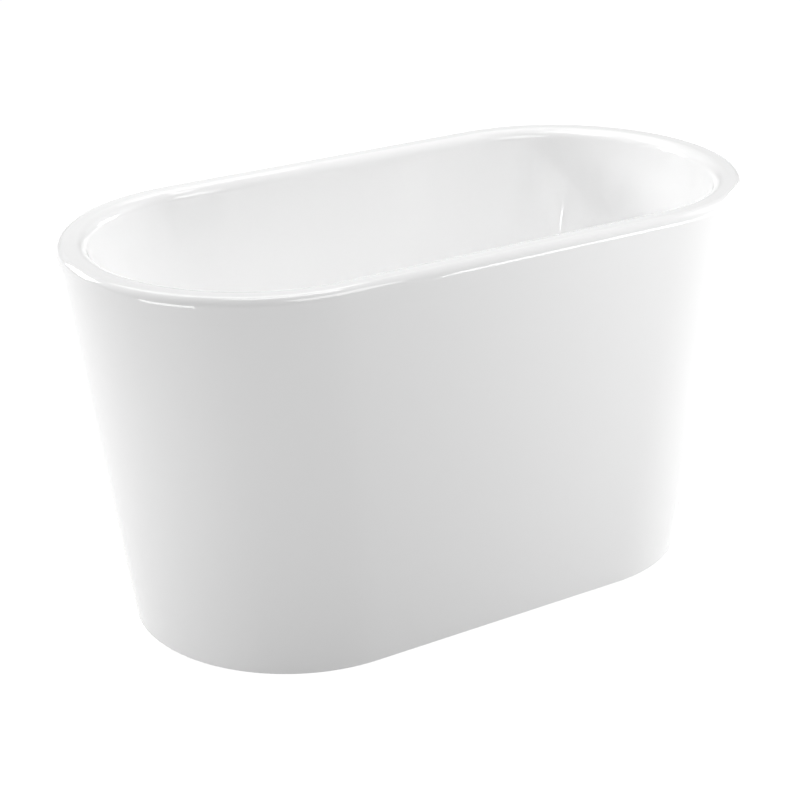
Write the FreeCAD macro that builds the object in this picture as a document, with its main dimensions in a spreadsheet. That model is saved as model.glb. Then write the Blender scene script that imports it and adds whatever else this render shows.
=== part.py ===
"""A compact free-standing bath, as a parametric document.

The acrylic basin hangs from its own rolled rim inside a tapering acrylic skirt. A board under the
basin floor sits on two square steel tubes, and the tubes stand on four screw feet. The waste has a
push-open plug and a trap under the floor, and the overflow runs down between basin and skirt.

Lengths are in millimetres and angles in degrees. X runs along the bath, Y across it, and Z up from
the floor. The origin is on the floor, under the middle of the bath. The front is the side at minus Y.
"""
import FreeCAD, Part
import math
import os
import re
import Sketcher

# Every size that can be set by itself. The names are the aliases of the sheet's cells.
SIZES = {
    # outer form
    "overall_length": 1200,
    "overall_width": 600,
    "overall_height": 650,
    "base_length": 1004,
    "base_width": 522,
    # rolled rim, from the outermost line of the rim to the edge of the cavity
    "rim_band": 45,
    "rim_outer_radius": 14,
    "rim_inner_radius": 20,
    "lip_depth": 40,
    # basin
    "basin_wall": 5,
    "floor_height": 140,
    "back_angle": 14.6,
    "side_angle": 6.9,
    "floor_fillet": 70,
    "recess_radius": 50,
    "recess_depth": 4,
    "recess_fillet": 3,
    "waste_hole_radius": 26,
    # skirt and the joint under the lip
    "skirt_wall": 5,
    "skirt_floor_gap": 3,
    "seam_gap": 1,
    "joggle_wall": 4,
    "joggle_reach": 12,
    "joggle_depth": 24,
    # glass-fibre layer and board
    "laminate_wall": 3,
    "laminate_drop_height": 160,
    "board_length": 700,
    "board_width": 260,
    "board_thickness": 15,
    "board_hole_radius": 60,
    # steel under the board
    "bar_size": 25,
    "bar_wall": 1.5,
    "bar_corner": 3,
    "bar_length": 410,
    "bar_distance": 272,
    "bar_screw_distance": 100,
    "bar_screw_depth": 12,
    # skirt blocks and their brackets
    "block_length": 60,
    "block_bottom": 60,
    "block_height": 60,
    "block_face": 227,
    "bracket_width": 25,
    "bracket_thickness": 3,
    "bracket_foot": 77,
    "bracket_drop": 50,
    "bracket_bend": 2,
    "bolt_near_distance": 160,
    "bolt_far_distance": 197,
    "block_screw_low": 14,
    "block_screw_high": 36,
    "block_screw_length": 18,
    # one screw size for wood and steel
    "screw_radius": 2.5,
    "screw_head_radius": 5,
    "screw_head_height": 3,
    "screw_tip": 10,
    "slot_width": 1,
    "slot_reach": 2.4,
    "slot_depth": 1.6,
    # screw feet
    "foot_distance": 182,
    "pad_radius": 25,
    "pad_edge": 5,
    "pad_top_radius": 12,
    "pad_height": 14,
    "pad_floor": 4,
    "pad_bevel": 1.5,
    "stem_radius": 5.9,
    "stem_top": 111,
    "stem_collar_radius": 9,
    "stem_collar_height": 6,
    "stem_bevel": 1,
    "nut_radius": 10.97,
    "bar_nut_height": 10,
    "lock_nut_height": 8,
    "nut_bevel": 1.2,
    # waste fitting
    "gasket_thickness": 1.5,
    "gasket_radius": 34,
    "flange_radius": 36,
    "flange_edge": 1.2,
    "flange_thickness": 2.5,
    "flange_bevel": 2.5,
    "dish_radius": 31,
    "dish_depth": 1.2,
    "waste_tube_radius": 23.9,
    "waste_tube_bore": 21.5,
    "waste_tube_length": 29.5,
    "web_height": 10,
    "web_thickness": 4,
    "web_width": 3,
    "web_boss_radius": 7,
    "web_boss_height": 10,
    "lower_gasket_thickness": 3,
    "lower_gasket_bore": 28,
    "body_flange_radius": 37,
    "body_flange_thickness": 5,
    "body_radius": 28,
    "body_bore": 22,
    "body_height": 66,
    "body_tail_length": 13,
    "inlet_height": 28,
    "inlet_reach": 60,
    # plug
    "post_radius": 4,
    "post_collar_radius": 6,
    "post_collar_height": 2,
    "post_pin_radius": 3.4,
    "post_pin_length": 17.5,
    "sleeve_radius": 7,
    "sleeve_bore": 5.2,
    "sleeve_length": 18,
    "cap_radius": 31,
    "cap_thickness": 5.7,
    "cap_round": 4,
    "cap_boss_radius": 21.9,
    "cap_boss_bore": 18,
    "cap_boss_height": 2.5,
    "plug_seal_radius": 28,
    "plug_seal_thickness": 2.9,
    "plug_seal_clearance": 0.3,
    "plug_travel": 9,
    "spring_radius": 4.3,
    "spring_wire": 0.8,
    "spring_turns": 8,
    "spring_gap": 0.1,
    # compression joints of the pipes
    "nut_wall": 3,
    "nut_lip": 3,
    "nut_reach": 11,
    "flute_radius": 1.5,
    "flute_depth": 0.8,
    "flute_count": 14,
    "union_seal_thickness": 3,
    "socket_depth": 12,
    "socket_wall": 2.4,
    "shoulder_width": 1.6,
    # trap
    "trap_pipe_radius": 20,
    "trap_pipe_wall": 2,
    "trap_bend_radius": 28,
    "trap_bend_height": 56,
    "trap_outlet_height": 10,
    # overflow
    "overflow_drop_height": 95,
    "overflow_hole_radius": 22,
    "cover_radius": 31,
    "cover_stand": 3,
    "cover_depth": 7,
    "cover_thickness": 3,
    "cover_hub_radius": 6,
    "cover_round": 1.5,
    "overflow_screw_length": 30,
    "overflow_gasket_thickness": 3,
    "overflow_gasket_radius": 29,
    "elbow_flange_radius": 30,
    "elbow_flange_thickness": 4,
    "elbow_radius": 25,
    "elbow_wall": 3,
    "elbow_depth": 33,
    "elbow_boss_radius": 5,
    "elbow_pipe_depth": 24.5,
    "elbow_stub_length": 46,
    "overflow_pipe_radius": 12.5,
    "overflow_pipe_wall": 1.5,
    "overflow_bend_radius": 45,
    # clearances
    "bond_gap": 0.3,
    "fit_clearance": 0.1,
    "thread_clearance": 0.05,
    "pipe_clearance": 0.1,
    "lip_clearance": 0.5,
    "end_clearance": 0.3,
    # overrun of every cutting shape past the surface that it cuts
    "overrun": 20,
}

document = FreeCAD.newDocument("free_standing_bath")
sheet = document.addObject("Spreadsheet::Sheet", "sizes")
for row, (name, size) in enumerate(SIZES.items(), start=1):
    sheet.set(f"A{row}", name)
    sheet.set(f"B{row}", str(size))
    sheet.setAlias(f"B{row}", name)
document.recompute()

# Edges count as level where they differ by less than this.
LEVEL_TOLERANCE = 0.001
ALONG_X = FreeCAD.Vector(1, 0, 0)
AGAINST_X = FreeCAD.Vector(-1, 0, 0)
ALONG_Y = FreeCAD.Vector(0, 1, 0)
ALONG_Z = FreeCAD.Vector(0, 0, 1)
NODES = []


def cells(formula):
    """Writes each size in a formula as its cell in the sheet."""
    return re.sub(r"[a-z_]+", lambda word: "sizes." + word[0] if word[0] in SIZES else word[0], formula)


def value(formula):
    """Works a formula out from the sheet."""
    result = sheet.evalExpression(cells(formula))
    return float(getattr(result, "Value", result))


def bind(item, path, formula):
    """Ties one property of an object to a formula of the sheet's sizes."""
    item.setExpression(path, cells(formula))


def place(item, across="0", deep="0", up="0"):
    """Puts an object at a place worked out from the sizes."""
    bind(item, "Placement.Base.x", across)
    bind(item, "Placement.Base.y", deep)
    bind(item, "Placement.Base.z", up)


def turn(item, axis, angle):
    """Turns an object about an axis through its own origin by an angle worked out from the sizes."""
    item.Placement = FreeCAD.Placement(item.Placement.Base, FreeCAD.Rotation(axis, value(angle)))
    bind(item, "Placement.Rotation.Angle", angle)


def node(item, name):
    """Names an object as one of the pieces that are written out."""
    item.Label = name
    NODES.append(item)
    return item


def new_body(name):
    """Starts the body of one piece."""
    return node(document.addObject("PartDesign::Body", name), name)


def plane(body, role):
    """Finds one of the body's own origin planes."""
    return next(item for item in body.Origin.OriginFeatures if item.Role == role)


def new_sketch(body, name, role, offset):
    """Makes an empty sketch on an origin plane of the body, moved along that plane's normal."""
    sketch = body.newObject("Sketcher::SketchObject", name)
    sketch.AttachmentSupport = [(plane(body, role), "")]
    sketch.MapMode = "FlatFace"
    bind(sketch, "AttachmentOffset.Base.z", offset)
    return sketch


def dimension(sketch, name, formula, kind, *geometry):
    """Adds a named dimension to a sketch and ties it to a formula."""
    index = sketch.addConstraint(Sketcher.Constraint(kind, *geometry, value(formula)))
    sketch.renameConstraint(index, name)
    bind(sketch, "Constraints." + name, formula)


def pin(sketch, name, line, end, right, up):
    """Holds one point of a sketch at a place worked out from the sizes."""
    for axis, kind, formula, tag in ((-2, "DistanceX", right, "right"), (-1, "DistanceY", up, "up")):
        if formula == "0":
            sketch.addConstraint(Sketcher.Constraint("PointOnObject", line, end, axis))
        else:
            dimension(sketch, f"{name}_{tag}", formula, kind, -1, 1, line, end)


def stadium(body, name, length, width, height):
    """Draws two straight sides closed by two half circles, level at a height."""
    sketch = new_sketch(body, name, "XY_Plane", height)
    radius = value(f"({width}) / 2")
    centre = value(f"({length}) / 2") - radius
    up = FreeCAD.Vector(0, 0, 1)
    left = Part.Circle(FreeCAD.Vector(-centre, 0, 0), up, radius)
    right = Part.Circle(FreeCAD.Vector(centre, 0, 0), up, radius)
    quarter = math.pi / 2
    sketch.addGeometry(Part.LineSegment(FreeCAD.Vector(centre, radius, 0), FreeCAD.Vector(-centre, radius, 0)))
    sketch.addGeometry(Part.ArcOfCircle(left, quarter, 3 * quarter))
    sketch.addGeometry(Part.LineSegment(FreeCAD.Vector(-centre, -radius, 0), FreeCAD.Vector(centre, -radius, 0)))
    sketch.addGeometry(Part.ArcOfCircle(right, -quarter, quarter))
    for line in range(4):
        sketch.addConstraint(Sketcher.Constraint("Tangent", line, 2, (line + 1) % 4, 1))
    sketch.addConstraint(Sketcher.Constraint("Symmetric", 1, 3, 3, 3, -1, 1))
    sketch.addConstraint(Sketcher.Constraint("PointOnObject", 3, 3, -1))
    sketch.addConstraint(Sketcher.Constraint("Equal", 1, 3))
    dimension(sketch, "straight_side", f"({length}) - ({width})", "DistanceX", 1, 3, 3, 3)
    dimension(sketch, "end_radius", f"({width}) / 2", "Radius", 3)
    return sketch


def outline(body, name, role, corners, offset="0"):
    """Draws a closed outline of straight lines through corners given as formulas."""
    sketch = new_sketch(body, name, role, offset)
    points = [FreeCAD.Vector(value(right), value(up), 0) for right, up in corners]
    count = len(points)
    for line in range(count):
        sketch.addGeometry(Part.LineSegment(points[line], points[(line + 1) % count]))
    for line in range(count):
        sketch.addConstraint(Sketcher.Constraint("Coincident", line, 2, (line + 1) % count, 1))
        pin(sketch, f"corner_{line}", line, 1, *corners[line])
    return sketch


def circles(body, name, role, centre, radii, offset="0"):
    """Draws circles about one centre, one inside the other."""
    sketch = new_sketch(body, name, role, offset)
    middle = FreeCAD.Vector(value(centre[0]), value(centre[1]), 0)
    for index, radius in enumerate(radii):
        sketch.addGeometry(Part.Circle(middle, FreeCAD.Vector(0, 0, 1), value(radius)))
        pin(sketch, f"centre_{index}", index, 3, *centre)
        dimension(sketch, f"radius_{index}", radius, "Radius", index)
    return sketch


def loft(body, name, kind, lower, upper):
    """Lofts straight between two level sketches."""
    feature = body.newObject(f"PartDesign::{kind}Loft", name)
    feature.Profile = upper
    feature.Sections = [lower]
    feature.Ruled = True
    document.recompute()
    return feature


def extrude(body, name, kind, sketch, length):
    """Pads or pockets a sketch: a pad goes along the sketch's normal, a pocket against it."""
    feature = body.newObject(f"PartDesign::{kind}", name)
    feature.Profile = sketch
    bind(feature, "Length", length)
    document.recompute()
    return feature


def cylinder(body, name, kind, radius, height, centre, axis=None, angle="0"):
    """Adds or takes away a cylinder that stands on a centre and may be turned."""
    feature = body.newObject(f"PartDesign::{kind}Cylinder", name)
    bind(feature, "Radius", radius)
    bind(feature, "Height", height)
    if axis is not None:
        turn(feature, axis, angle)
    place(feature, *centre)
    document.recompute()
    return feature


def level_edges(feature, height, reach=None):
    """Names the edges of a feature that lie level at a height, and within a reach of the middle."""
    level = value(height)
    limit = math.inf if reach is None else value(reach)
    names = []
    for index, edge in enumerate(feature.Shape.Edges, start=1):
        box = edge.BoundBox
        at_level = max(abs(box.ZMin - level), abs(box.ZMax - level)) < LEVEL_TOLERANCE
        within_reach = max(abs(box.XMin), abs(box.XMax)) < limit
        if at_level and within_reach:
            names.append(f"Edge{index}")
    return names


def fillet(body, name, feature, edges, radius):
    """Rounds edges of a feature."""
    rounded = body.newObject("PartDesign::Fillet", name)
    rounded.Base = (feature, edges)
    bind(rounded, "Radius", radius)
    document.recompute()
    return rounded


def turned(name, corners):
    """Makes a piece by turning an outline, given as radius and height, about the upright axis."""
    body = new_body(name)
    sketch = outline(body, name + "_outline", "XZ_Plane", corners)
    feature = body.newObject("PartDesign::Revolution", name + "_turned")
    feature.Profile = sketch
    feature.ReferenceAxis = (sketch, ["V_Axis"])
    document.recompute()
    return body


def ring(name, outer, inner, height):
    """Makes a flat ring."""
    return turned(name, [(outer, "0"), (outer, height), (inner, height), (inner, "0")])


# The outer wall meets the rim's outer round without a break: it leans from the base outline so that it
# touches the round from below. One lean holds for the two ends and another for the two sides.
def wall_lean(overall, base):
    run = f"({overall} / 2 - rim_outer_radius - {base} / 2)"
    rise = "(overall_height - rim_outer_radius)"
    return f"tan(atan({run} / {rise}) + asin(rim_outer_radius / sqrt({run} * {run} + {rise} * {rise})))"


END_LEAN = wall_lean("overall_length", "base_length")
SIDE_LEAN = wall_lean("overall_width", "base_width")


def outer_form(height, inset="0"):
    """Length and width of the outer wall at a height, drawn in by an inset square to the wall."""
    length = f"base_length + 2 * {END_LEAN} * ({height}) - 2 * ({inset}) * sqrt(1 + {END_LEAN} * {END_LEAN})"
    width = f"base_width + 2 * {SIDE_LEAN} * ({height}) - 2 * ({inset}) * sqrt(1 + {SIDE_LEAN} * {SIDE_LEAN})"
    return length, width


def cavity_form(height, outset="0"):
    """Length and width of the basin's cavity at a height, let out by an outset square to the wall."""
    depth = f"(overall_height - ({height}))"
    length = f"overall_length - 2 * (rim_band + {depth} * tan(back_angle) - ({outset}) / cos(back_angle))"
    width = f"overall_width - 2 * (rim_band + {depth} * tan(side_angle) - ({outset}) / cos(side_angle))"
    return length, width


# The basin is one acrylic sheet drawn into a mould, with the same wall all over: the cavity, the rolled
# rim and the lip that turns down outside. The rim is made first as a block whose underside is taken out.
TOP = "overall_height"
TOP_UNDERSIDE = "overall_height - basin_wall"
LIP_BOTTOM = "overall_height - lip_depth"
FLOOR = "floor_height"
FLOOR_UNDERSIDE = "floor_height - basin_wall"

basin = new_body("inner_basin")
rim_block = loft(
    basin,
    "rim_block",
    "Additive",
    stadium(basin, "rim_block_lower", *outer_form(LIP_BOTTOM), LIP_BOTTOM),
    stadium(basin, "rim_block_upper", *outer_form(TOP), TOP),
)
rim_underside = loft(
    basin,
    "rim_underside",
    "Subtractive",
    stadium(basin, "rim_underside_lower", *outer_form(LIP_BOTTOM, "basin_wall"), LIP_BOTTOM),
    stadium(basin, "rim_underside_upper", *outer_form(TOP_UNDERSIDE, "basin_wall"), TOP_UNDERSIDE),
)
under_round = fillet(
    basin,
    "rim_under_round",
    rim_underside,
    level_edges(rim_underside, TOP_UNDERSIDE),
    "rim_outer_radius - basin_wall",
)
rim_round = fillet(basin, "rim_outer_round", under_round, level_edges(under_round, TOP), "rim_outer_radius")
basin_form = loft(
    basin,
    "basin_form",
    "Additive",
    stadium(basin, "basin_form_lower", *cavity_form(FLOOR_UNDERSIDE, "basin_wall"), FLOOR_UNDERSIDE),
    stadium(basin, "basin_form_upper", *cavity_form(TOP_UNDERSIDE, "basin_wall"), TOP_UNDERSIDE),
)
inner_under_round = fillet(
    basin,
    "rim_inner_under_round",
    basin_form,
    level_edges(basin_form, TOP_UNDERSIDE, "overall_length / 2 - rim_band + basin_wall + bond_gap"),
    "rim_inner_radius - basin_wall",
)
cavity = loft(
    basin,
    "cavity",
    "Subtractive",
    stadium(basin, "cavity_lower", *cavity_form(FLOOR), FLOOR),
    stadium(basin, "cavity_upper", *cavity_form(TOP), TOP),
)
floor_round = fillet(basin, "floor_round", cavity, level_edges(cavity, FLOOR), "floor_fillet")
bottom_round = fillet(
    basin,
    "bottom_round",
    floor_round,
    level_edges(floor_round, FLOOR_UNDERSIDE),
    "floor_fillet + basin_wall",
)
rim_inner_round = fillet(
    basin,
    "rim_inner_round",
    bottom_round,
    level_edges(bottom_round, TOP, "overall_length / 2 - rim_band + bond_gap"),
    "rim_inner_radius",
)

# Round the waste the floor is pressed down, so that the flange lies level with the floor.
SEAT = "floor_height - recess_depth"
SEAT_UNDERSIDE = "floor_height - recess_depth - basin_wall"
recess_boss = extrude(
    basin,
    "recess_boss",
    "Pad",
    circles(basin, "recess_boss_outline", "XY_Plane", ("0", "0"), ["recess_radius + basin_wall"], SEAT_UNDERSIDE),
    "recess_depth + basin_wall / 2",
)
recess = extrude(
    basin,
    "recess",
    "Pocket",
    circles(basin, "recess_outline", "XY_Plane", ("0", "0"), ["recess_radius"], FLOOR),
    "recess_depth",
)
recess_round = fillet(
    basin,
    "recess_round",
    recess,
    level_edges(recess, SEAT, "recess_radius + bond_gap"),
    "recess_fillet",
)
cylinder(
    basin,
    "waste_hole",
    "Subtractive",
    "waste_hole_radius",
    "basin_wall + 2 * overrun",
    ("0", "0", "floor_height - recess_depth - basin_wall - overrun"),
)

# The overflow stands on the front wall's inner face, square to it. Its own upright axis points into the
# cavity, and its own Y runs down along the wall.
OVERFLOW_FACE = "-(overall_width / 2 - rim_band - overflow_drop_height * tan(side_angle))"
OVERFLOW_TILT = "90 - side_angle"


def on_overflow(inward, down="0"):
    """The place of a point given by its distance into the cavity and down along the front wall."""
    deep = f"{OVERFLOW_FACE} + ({inward}) * cos(side_angle) + ({down}) * sin(side_angle)"
    up = f"overall_height - overflow_drop_height + ({inward}) * sin(side_angle) - ({down}) * cos(side_angle)"
    return "0", deep, up


cylinder(
    basin,
    "overflow_hole",
    "Subtractive",
    "overflow_hole_radius",
    "basin_wall + 2 * overrun",
    on_overflow("-basin_wall - overrun"),
    AGAINST_X,
    OVERFLOW_TILT,
)

# The skirt is a tapering acrylic wall. Its top steps inward by one wall and reaches up inside the lip,
# where the two are bonded, so that skirt and lip lie flush outside.
SEAM_BOTTOM = "overall_height - lip_depth - seam_gap"
JOGGLE_BOTTOM = "overall_height - lip_depth - seam_gap - joggle_depth"
JOGGLE_TOP = "overall_height - lip_depth + joggle_reach"

skirt = new_body("outer_skirt")
loft(
    skirt,
    "skirt_form",
    "Additive",
    stadium(skirt, "skirt_form_lower", *outer_form("skirt_floor_gap"), "skirt_floor_gap"),
    stadium(skirt, "skirt_form_upper", *outer_form(SEAM_BOTTOM), SEAM_BOTTOM),
)
loft(
    skirt,
    "joggle_form",
    "Additive",
    stadium(skirt, "joggle_form_lower", *outer_form(JOGGLE_BOTTOM, "basin_wall + bond_gap"), JOGGLE_BOTTOM),
    stadium(skirt, "joggle_form_upper", *outer_form(JOGGLE_TOP, "basin_wall + bond_gap"), JOGGLE_TOP),
)
SKIRT_UNDER = "skirt_floor_gap - overrun"
loft(
    skirt,
    "skirt_space",
    "Subtractive",
    stadium(skirt, "skirt_space_lower", *outer_form(SKIRT_UNDER, "skirt_wall"), SKIRT_UNDER),
    stadium(skirt, "skirt_space_upper", *outer_form(JOGGLE_BOTTOM, "skirt_wall"), JOGGLE_BOTTOM),
)
JOGGLE_INSET = "basin_wall + bond_gap + joggle_wall"
JOGGLE_UNDER = f"{JOGGLE_BOTTOM} - overrun"
JOGGLE_OVER = f"{JOGGLE_TOP} + overrun"
loft(
    skirt,
    "joggle_space",
    "Subtractive",
    stadium(skirt, "joggle_space_lower", *outer_form(JOGGLE_UNDER, JOGGLE_INSET), JOGGLE_UNDER),
    stadium(skirt, "joggle_space_upper", *outer_form(JOGGLE_OVER, JOGGLE_INSET), JOGGLE_OVER),
)

# The joint between the lip and the skirt is filled and polished flush.
bead = new_body("rim_seam_bead")
loft(
    bead,
    "bead_form",
    "Additive",
    stadium(bead, "bead_form_lower", *outer_form(SEAM_BOTTOM), SEAM_BOTTOM),
    stadium(bead, "bead_form_upper", *outer_form(LIP_BOTTOM), LIP_BOTTOM),
)
BEAD_UNDER = f"{SEAM_BOTTOM} - overrun"
BEAD_OVER = f"{LIP_BOTTOM} + overrun"
loft(
    bead,
    "bead_space",
    "Subtractive",
    stadium(bead, "bead_space_lower", *outer_form(BEAD_UNDER, "basin_wall"), BEAD_UNDER),
    stadium(bead, "bead_space_upper", *outer_form(BEAD_OVER, "basin_wall"), BEAD_OVER),
)

# Glass fibre is laid up behind the basin, from the floor to below the overflow, and stiffens it.
LAMINATE_INNER = "basin_wall + bond_gap"
LAMINATE_OUTER = "basin_wall + bond_gap + laminate_wall"
LAMINATE_TOP_SIDE = "floor_height - basin_wall - bond_gap"
LAMINATE_UNDERSIDE = "floor_height - basin_wall - bond_gap - laminate_wall"
LAMINATE_TOP = "overall_height - laminate_drop_height"
LAMINATE_OVER = f"{LAMINATE_TOP} + overrun"

laminate = new_body("basin_laminate")
loft(
    laminate,
    "laminate_form",
    "Additive",
    stadium(laminate, "laminate_form_lower", *cavity_form(LAMINATE_UNDERSIDE, LAMINATE_OUTER), LAMINATE_UNDERSIDE),
    stadium(laminate, "laminate_form_upper", *cavity_form(LAMINATE_TOP, LAMINATE_OUTER), LAMINATE_TOP),
)
laminate_space = loft(
    laminate,
    "laminate_space",
    "Subtractive",
    stadium(laminate, "laminate_space_lower", *cavity_form(LAMINATE_TOP_SIDE, LAMINATE_INNER), LAMINATE_TOP_SIDE),
    stadium(laminate, "laminate_space_upper", *cavity_form(LAMINATE_OVER, LAMINATE_INNER), LAMINATE_OVER),
)
laminate_inner_round = fillet(
    laminate,
    "laminate_inner_round",
    laminate_space,
    level_edges(laminate_space, LAMINATE_TOP_SIDE),
    "floor_fillet + basin_wall + bond_gap",
)
fillet(
    laminate,
    "laminate_outer_round",
    laminate_inner_round,
    level_edges(laminate_inner_round, LAMINATE_UNDERSIDE),
    "floor_fillet + basin_wall + bond_gap + laminate_wall",
)
cylinder(
    laminate,
    "laminate_hole",
    "Subtractive",
    "recess_radius + basin_wall + bond_gap",
    "laminate_wall + 2 * overrun",
    ("0", "0", f"{LAMINATE_UNDERSIDE} - overrun"),
)

# The board lies flat under the glass fibre, cut to the outline of the basin's floor.
BOARD_UNDERSIDE = f"{LAMINATE_UNDERSIDE} - board_thickness"
board = new_body("base_board")
place(board, "0", "0", BOARD_UNDERSIDE)
extrude(board, "board_panel", "Pad", stadium(board, "board_outline", "board_length", "board_width", "0"),
        "board_thickness")
cylinder(
    board,
    "board_hole",
    "Subtractive",
    "board_hole_radius",
    "board_thickness + 2 * overrun",
    ("0", "0", "-overrun"),
)
for side in (-1, 1):
    for end in (-1, 1):
        cylinder(
            board,
            f"board_screw_hole_{side + 1}{end + 1}",
            "Subtractive",
            "screw_radius + thread_clearance",
            "bar_screw_depth + overrun",
            (f"{end} * bar_distance", f"{side} * bar_screw_distance", "-overrun"),
        )

# Two square steel tubes carry the board. Each is open at its ends, and its lower wall lets the screw
# feet pass up inside it.
BAR_TOP = BOARD_UNDERSIDE
BAR_UNDERSIDE = f"{BOARD_UNDERSIDE} - bar_size"


def rectangle(half, bottom, top):
    """Corners of a rectangle set evenly about the middle."""
    return [(half, bottom), (half, top), (f"-({half})", top), (f"-({half})", bottom)]


def edges_along_y(feature, length):
    """Names the straight edges of a feature that run along Y for a length."""
    names = []
    for index, edge in enumerate(feature.Shape.Edges, start=1):
        if abs(edge.BoundBox.YLength - value(length)) < LEVEL_TOLERANCE:
            names.append(f"Edge{index}")
    return names


def cross_bar(name, end):
    """Makes one tube at the left (-1) or right (1) end of the board."""
    bar = new_body(name)
    place(bar, f"{end} * bar_distance", "0", BAR_UNDERSIDE)
    outer = outline(bar, name + "_outline", "XZ_Plane", rectangle("bar_size / 2", "0", "bar_size"), "-bar_length / 2")
    solid = extrude(bar, name + "_solid", "Pad", outer, "bar_length")
    fillet(bar, name + "_corners", solid, edges_along_y(solid, "bar_length"), "bar_corner")
    cylinder_depth = "2 * bar_wall"
    bore = outline(
        bar,
        name + "_bore_outline",
        "XZ_Plane",
        rectangle("bar_size / 2 - bar_wall", "bar_wall", "bar_size - bar_wall"),
        "bar_length / 2 + overrun",
    )
    extrude(bar, name + "_bore", "Pocket", bore, "bar_length + 2 * overrun")
    for side, tag in ((-1, "front"), (1, "back")):
        cylinder(
            bar,
            f"{name}_{tag}_foot_hole",
            "Subtractive",
            "stem_radius + lip_clearance",
            cylinder_depth,
            ("0", f"{side} * foot_distance", "-bar_wall / 2"),
        )
        cylinder(
            bar,
            f"{name}_{tag}_board_screw_hole",
            "Subtractive",
            "screw_radius + thread_clearance",
            "bar_size + 2 * overrun",
            ("0", f"{side} * bar_screw_distance", "-overrun"),
        )
        for spot in ("near", "far"):
            cylinder(
                bar,
                f"{name}_{tag}_{spot}_bolt_hole",
                "Subtractive",
                "screw_radius + thread_clearance",
                cylinder_depth,
                ("0", f"{side} * bolt_{spot}_distance", "bar_size - 1.5 * bar_wall"),
            )
    return bar


cross_bar("cross_bar_left", -1)
cross_bar("cross_bar_right", 1)


def screw(name, length):
    """Makes one round-headed screw that points down from the underside of its head, with a cross for the driver."""
    body = document.addObject("PartDesign::Body", name)
    corners = [
        ("0", "0"),
        ("screw_radius / 2", "0"),
        ("screw_radius", "screw_radius"),
        ("screw_radius", length),
        ("screw_head_radius", length),
        ("screw_head_radius", f"{length} + screw_head_height / 2"),
        ("screw_head_radius - screw_head_height / 2", f"{length} + screw_head_height"),
        ("0", f"{length} + screw_head_height"),
    ]
    sketch = outline(body, name + "_outline", "XZ_Plane", corners)
    feature = body.newObject("PartDesign::Revolution", name + "_turned")
    feature.Profile = sketch
    feature.ReferenceAxis = (sketch, ["V_Axis"])
    document.recompute()
    top = f"{length} + screw_head_height"
    for way, half, reach in (("along", "slot_reach", "slot_width / 2"), ("across", "slot_width / 2", "slot_reach")):
        slot = outline(body, f"{name}_{way}_outline", "XY_Plane", rectangle(half, f"-({reach})", reach), top)
        extrude(body, f"{name}_{way}_slot", "Pocket", slot, "slot_depth")
    return body


def mirror(name, source, normal):
    """Mirrors an object in an upright plane through the middle of the bath."""
    copy = document.addObject("Part::Mirroring", name)
    copy.Source = source
    copy.Normal = normal
    return copy


def group(name, items):
    """Holds several solids as one object."""
    compound = document.addObject("Part::Compound", name)
    compound.Links = items
    return compound


def at_four_corners(name, items):
    """Repeats the pieces of the right back corner at all four corners, as one node."""
    corner = group(name + "_corner", items)
    end = group(name + "_end", [corner, mirror(name + "_mirrored_across", corner, ALONG_Y)])
    return node(group(name, [end, mirror(name + "_mirrored_along", end, ALONG_X)]), name)


# Four screws go up through the tubes into the board.
bar_screw = screw("bar_screw", "bar_size + bar_screw_depth - end_clearance")
place(bar_screw, "bar_distance", "bar_screw_distance", f"{BAR_UNDERSIDE} + bar_size + bar_screw_depth - end_clearance")
turn(bar_screw, ALONG_X, "180")
at_four_corners("bar_screws", [bar_screw])


def at_each_corner(name, source):
    """Repeats the back right piece at the other corners, each as a node of its own."""
    node(source, name + "_back_right")
    back_left = node(mirror(name + "_back_left", source, ALONG_X), name + "_back_left")
    node(mirror(name + "_front_right", source, ALONG_Y), name + "_front_right")
    node(mirror(name + "_front_left", back_left, ALONG_Y), name + "_front_left")


def cut(name, base, tools):
    """Takes shapes away from another, one after the other."""
    for index, tool in enumerate(tools):
        result = document.addObject("Part::Cut", f"{name}_{index}")
        result.Base = base
        result.Tool = tool
        base = result
    document.recompute()
    return base


def rod(name, radius, height):
    """Makes a plain cylinder as a cutting shape."""
    shape = document.addObject("Part::Cylinder", name)
    bind(shape, "Radius", radius)
    bind(shape, "Height", height)
    return shape


# Blocks are bonded inside the skirt and cut to its curve, and steel angles tie them to the tubes.
skirt_room = document.addObject("PartDesign::Body", "skirt_room")
ROOM_INSET = "skirt_wall + bond_gap"
loft(
    skirt_room,
    "skirt_room_form",
    "Additive",
    stadium(skirt_room, "skirt_room_lower", *outer_form("skirt_floor_gap", ROOM_INSET), "skirt_floor_gap"),
    stadium(skirt_room, "skirt_room_upper", *outer_form(JOGGLE_BOTTOM, ROOM_INSET), JOGGLE_BOTTOM),
)
BRACKET_TOP = f"{BAR_TOP} + bracket_thickness"
BLOCK_SCREW_PLACES = {
    "low": f"{BRACKET_TOP} - bracket_drop + block_screw_low",
    "high": f"{BRACKET_TOP} - bracket_drop + block_screw_high",
}
block_box = document.addObject("Part::Box", "block_box")
bind(block_box, "Length", "block_length")
bind(block_box, "Width", "overall_width / 2 - block_face")
bind(block_box, "Height", "block_height")
place(block_box, "bar_distance - block_length / 2", "block_face", "block_bottom")
block_form = document.addObject("Part::Common", "block_form")
block_form.Base = block_box
block_form.Tool = skirt_room
block_holes = []
block_screws = []
for spot, height in BLOCK_SCREW_PLACES.items():
    hole = rod(f"block_hole_{spot}", "screw_radius + thread_clearance", "block_screw_length + end_clearance")
    turn(hole, AGAINST_X, "90")
    place(hole, "bar_distance", "block_face", height)
    block_holes.append(hole)
    fixing = screw(f"block_screw_{spot}", "bracket_thickness + block_screw_length")
    turn(fixing, ALONG_X, "90")
    place(fixing, "bar_distance", "block_face + block_screw_length", height)
    block_screws.append(fixing)
at_each_corner("skirt_block", cut("skirt_block", block_form, block_holes))
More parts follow.
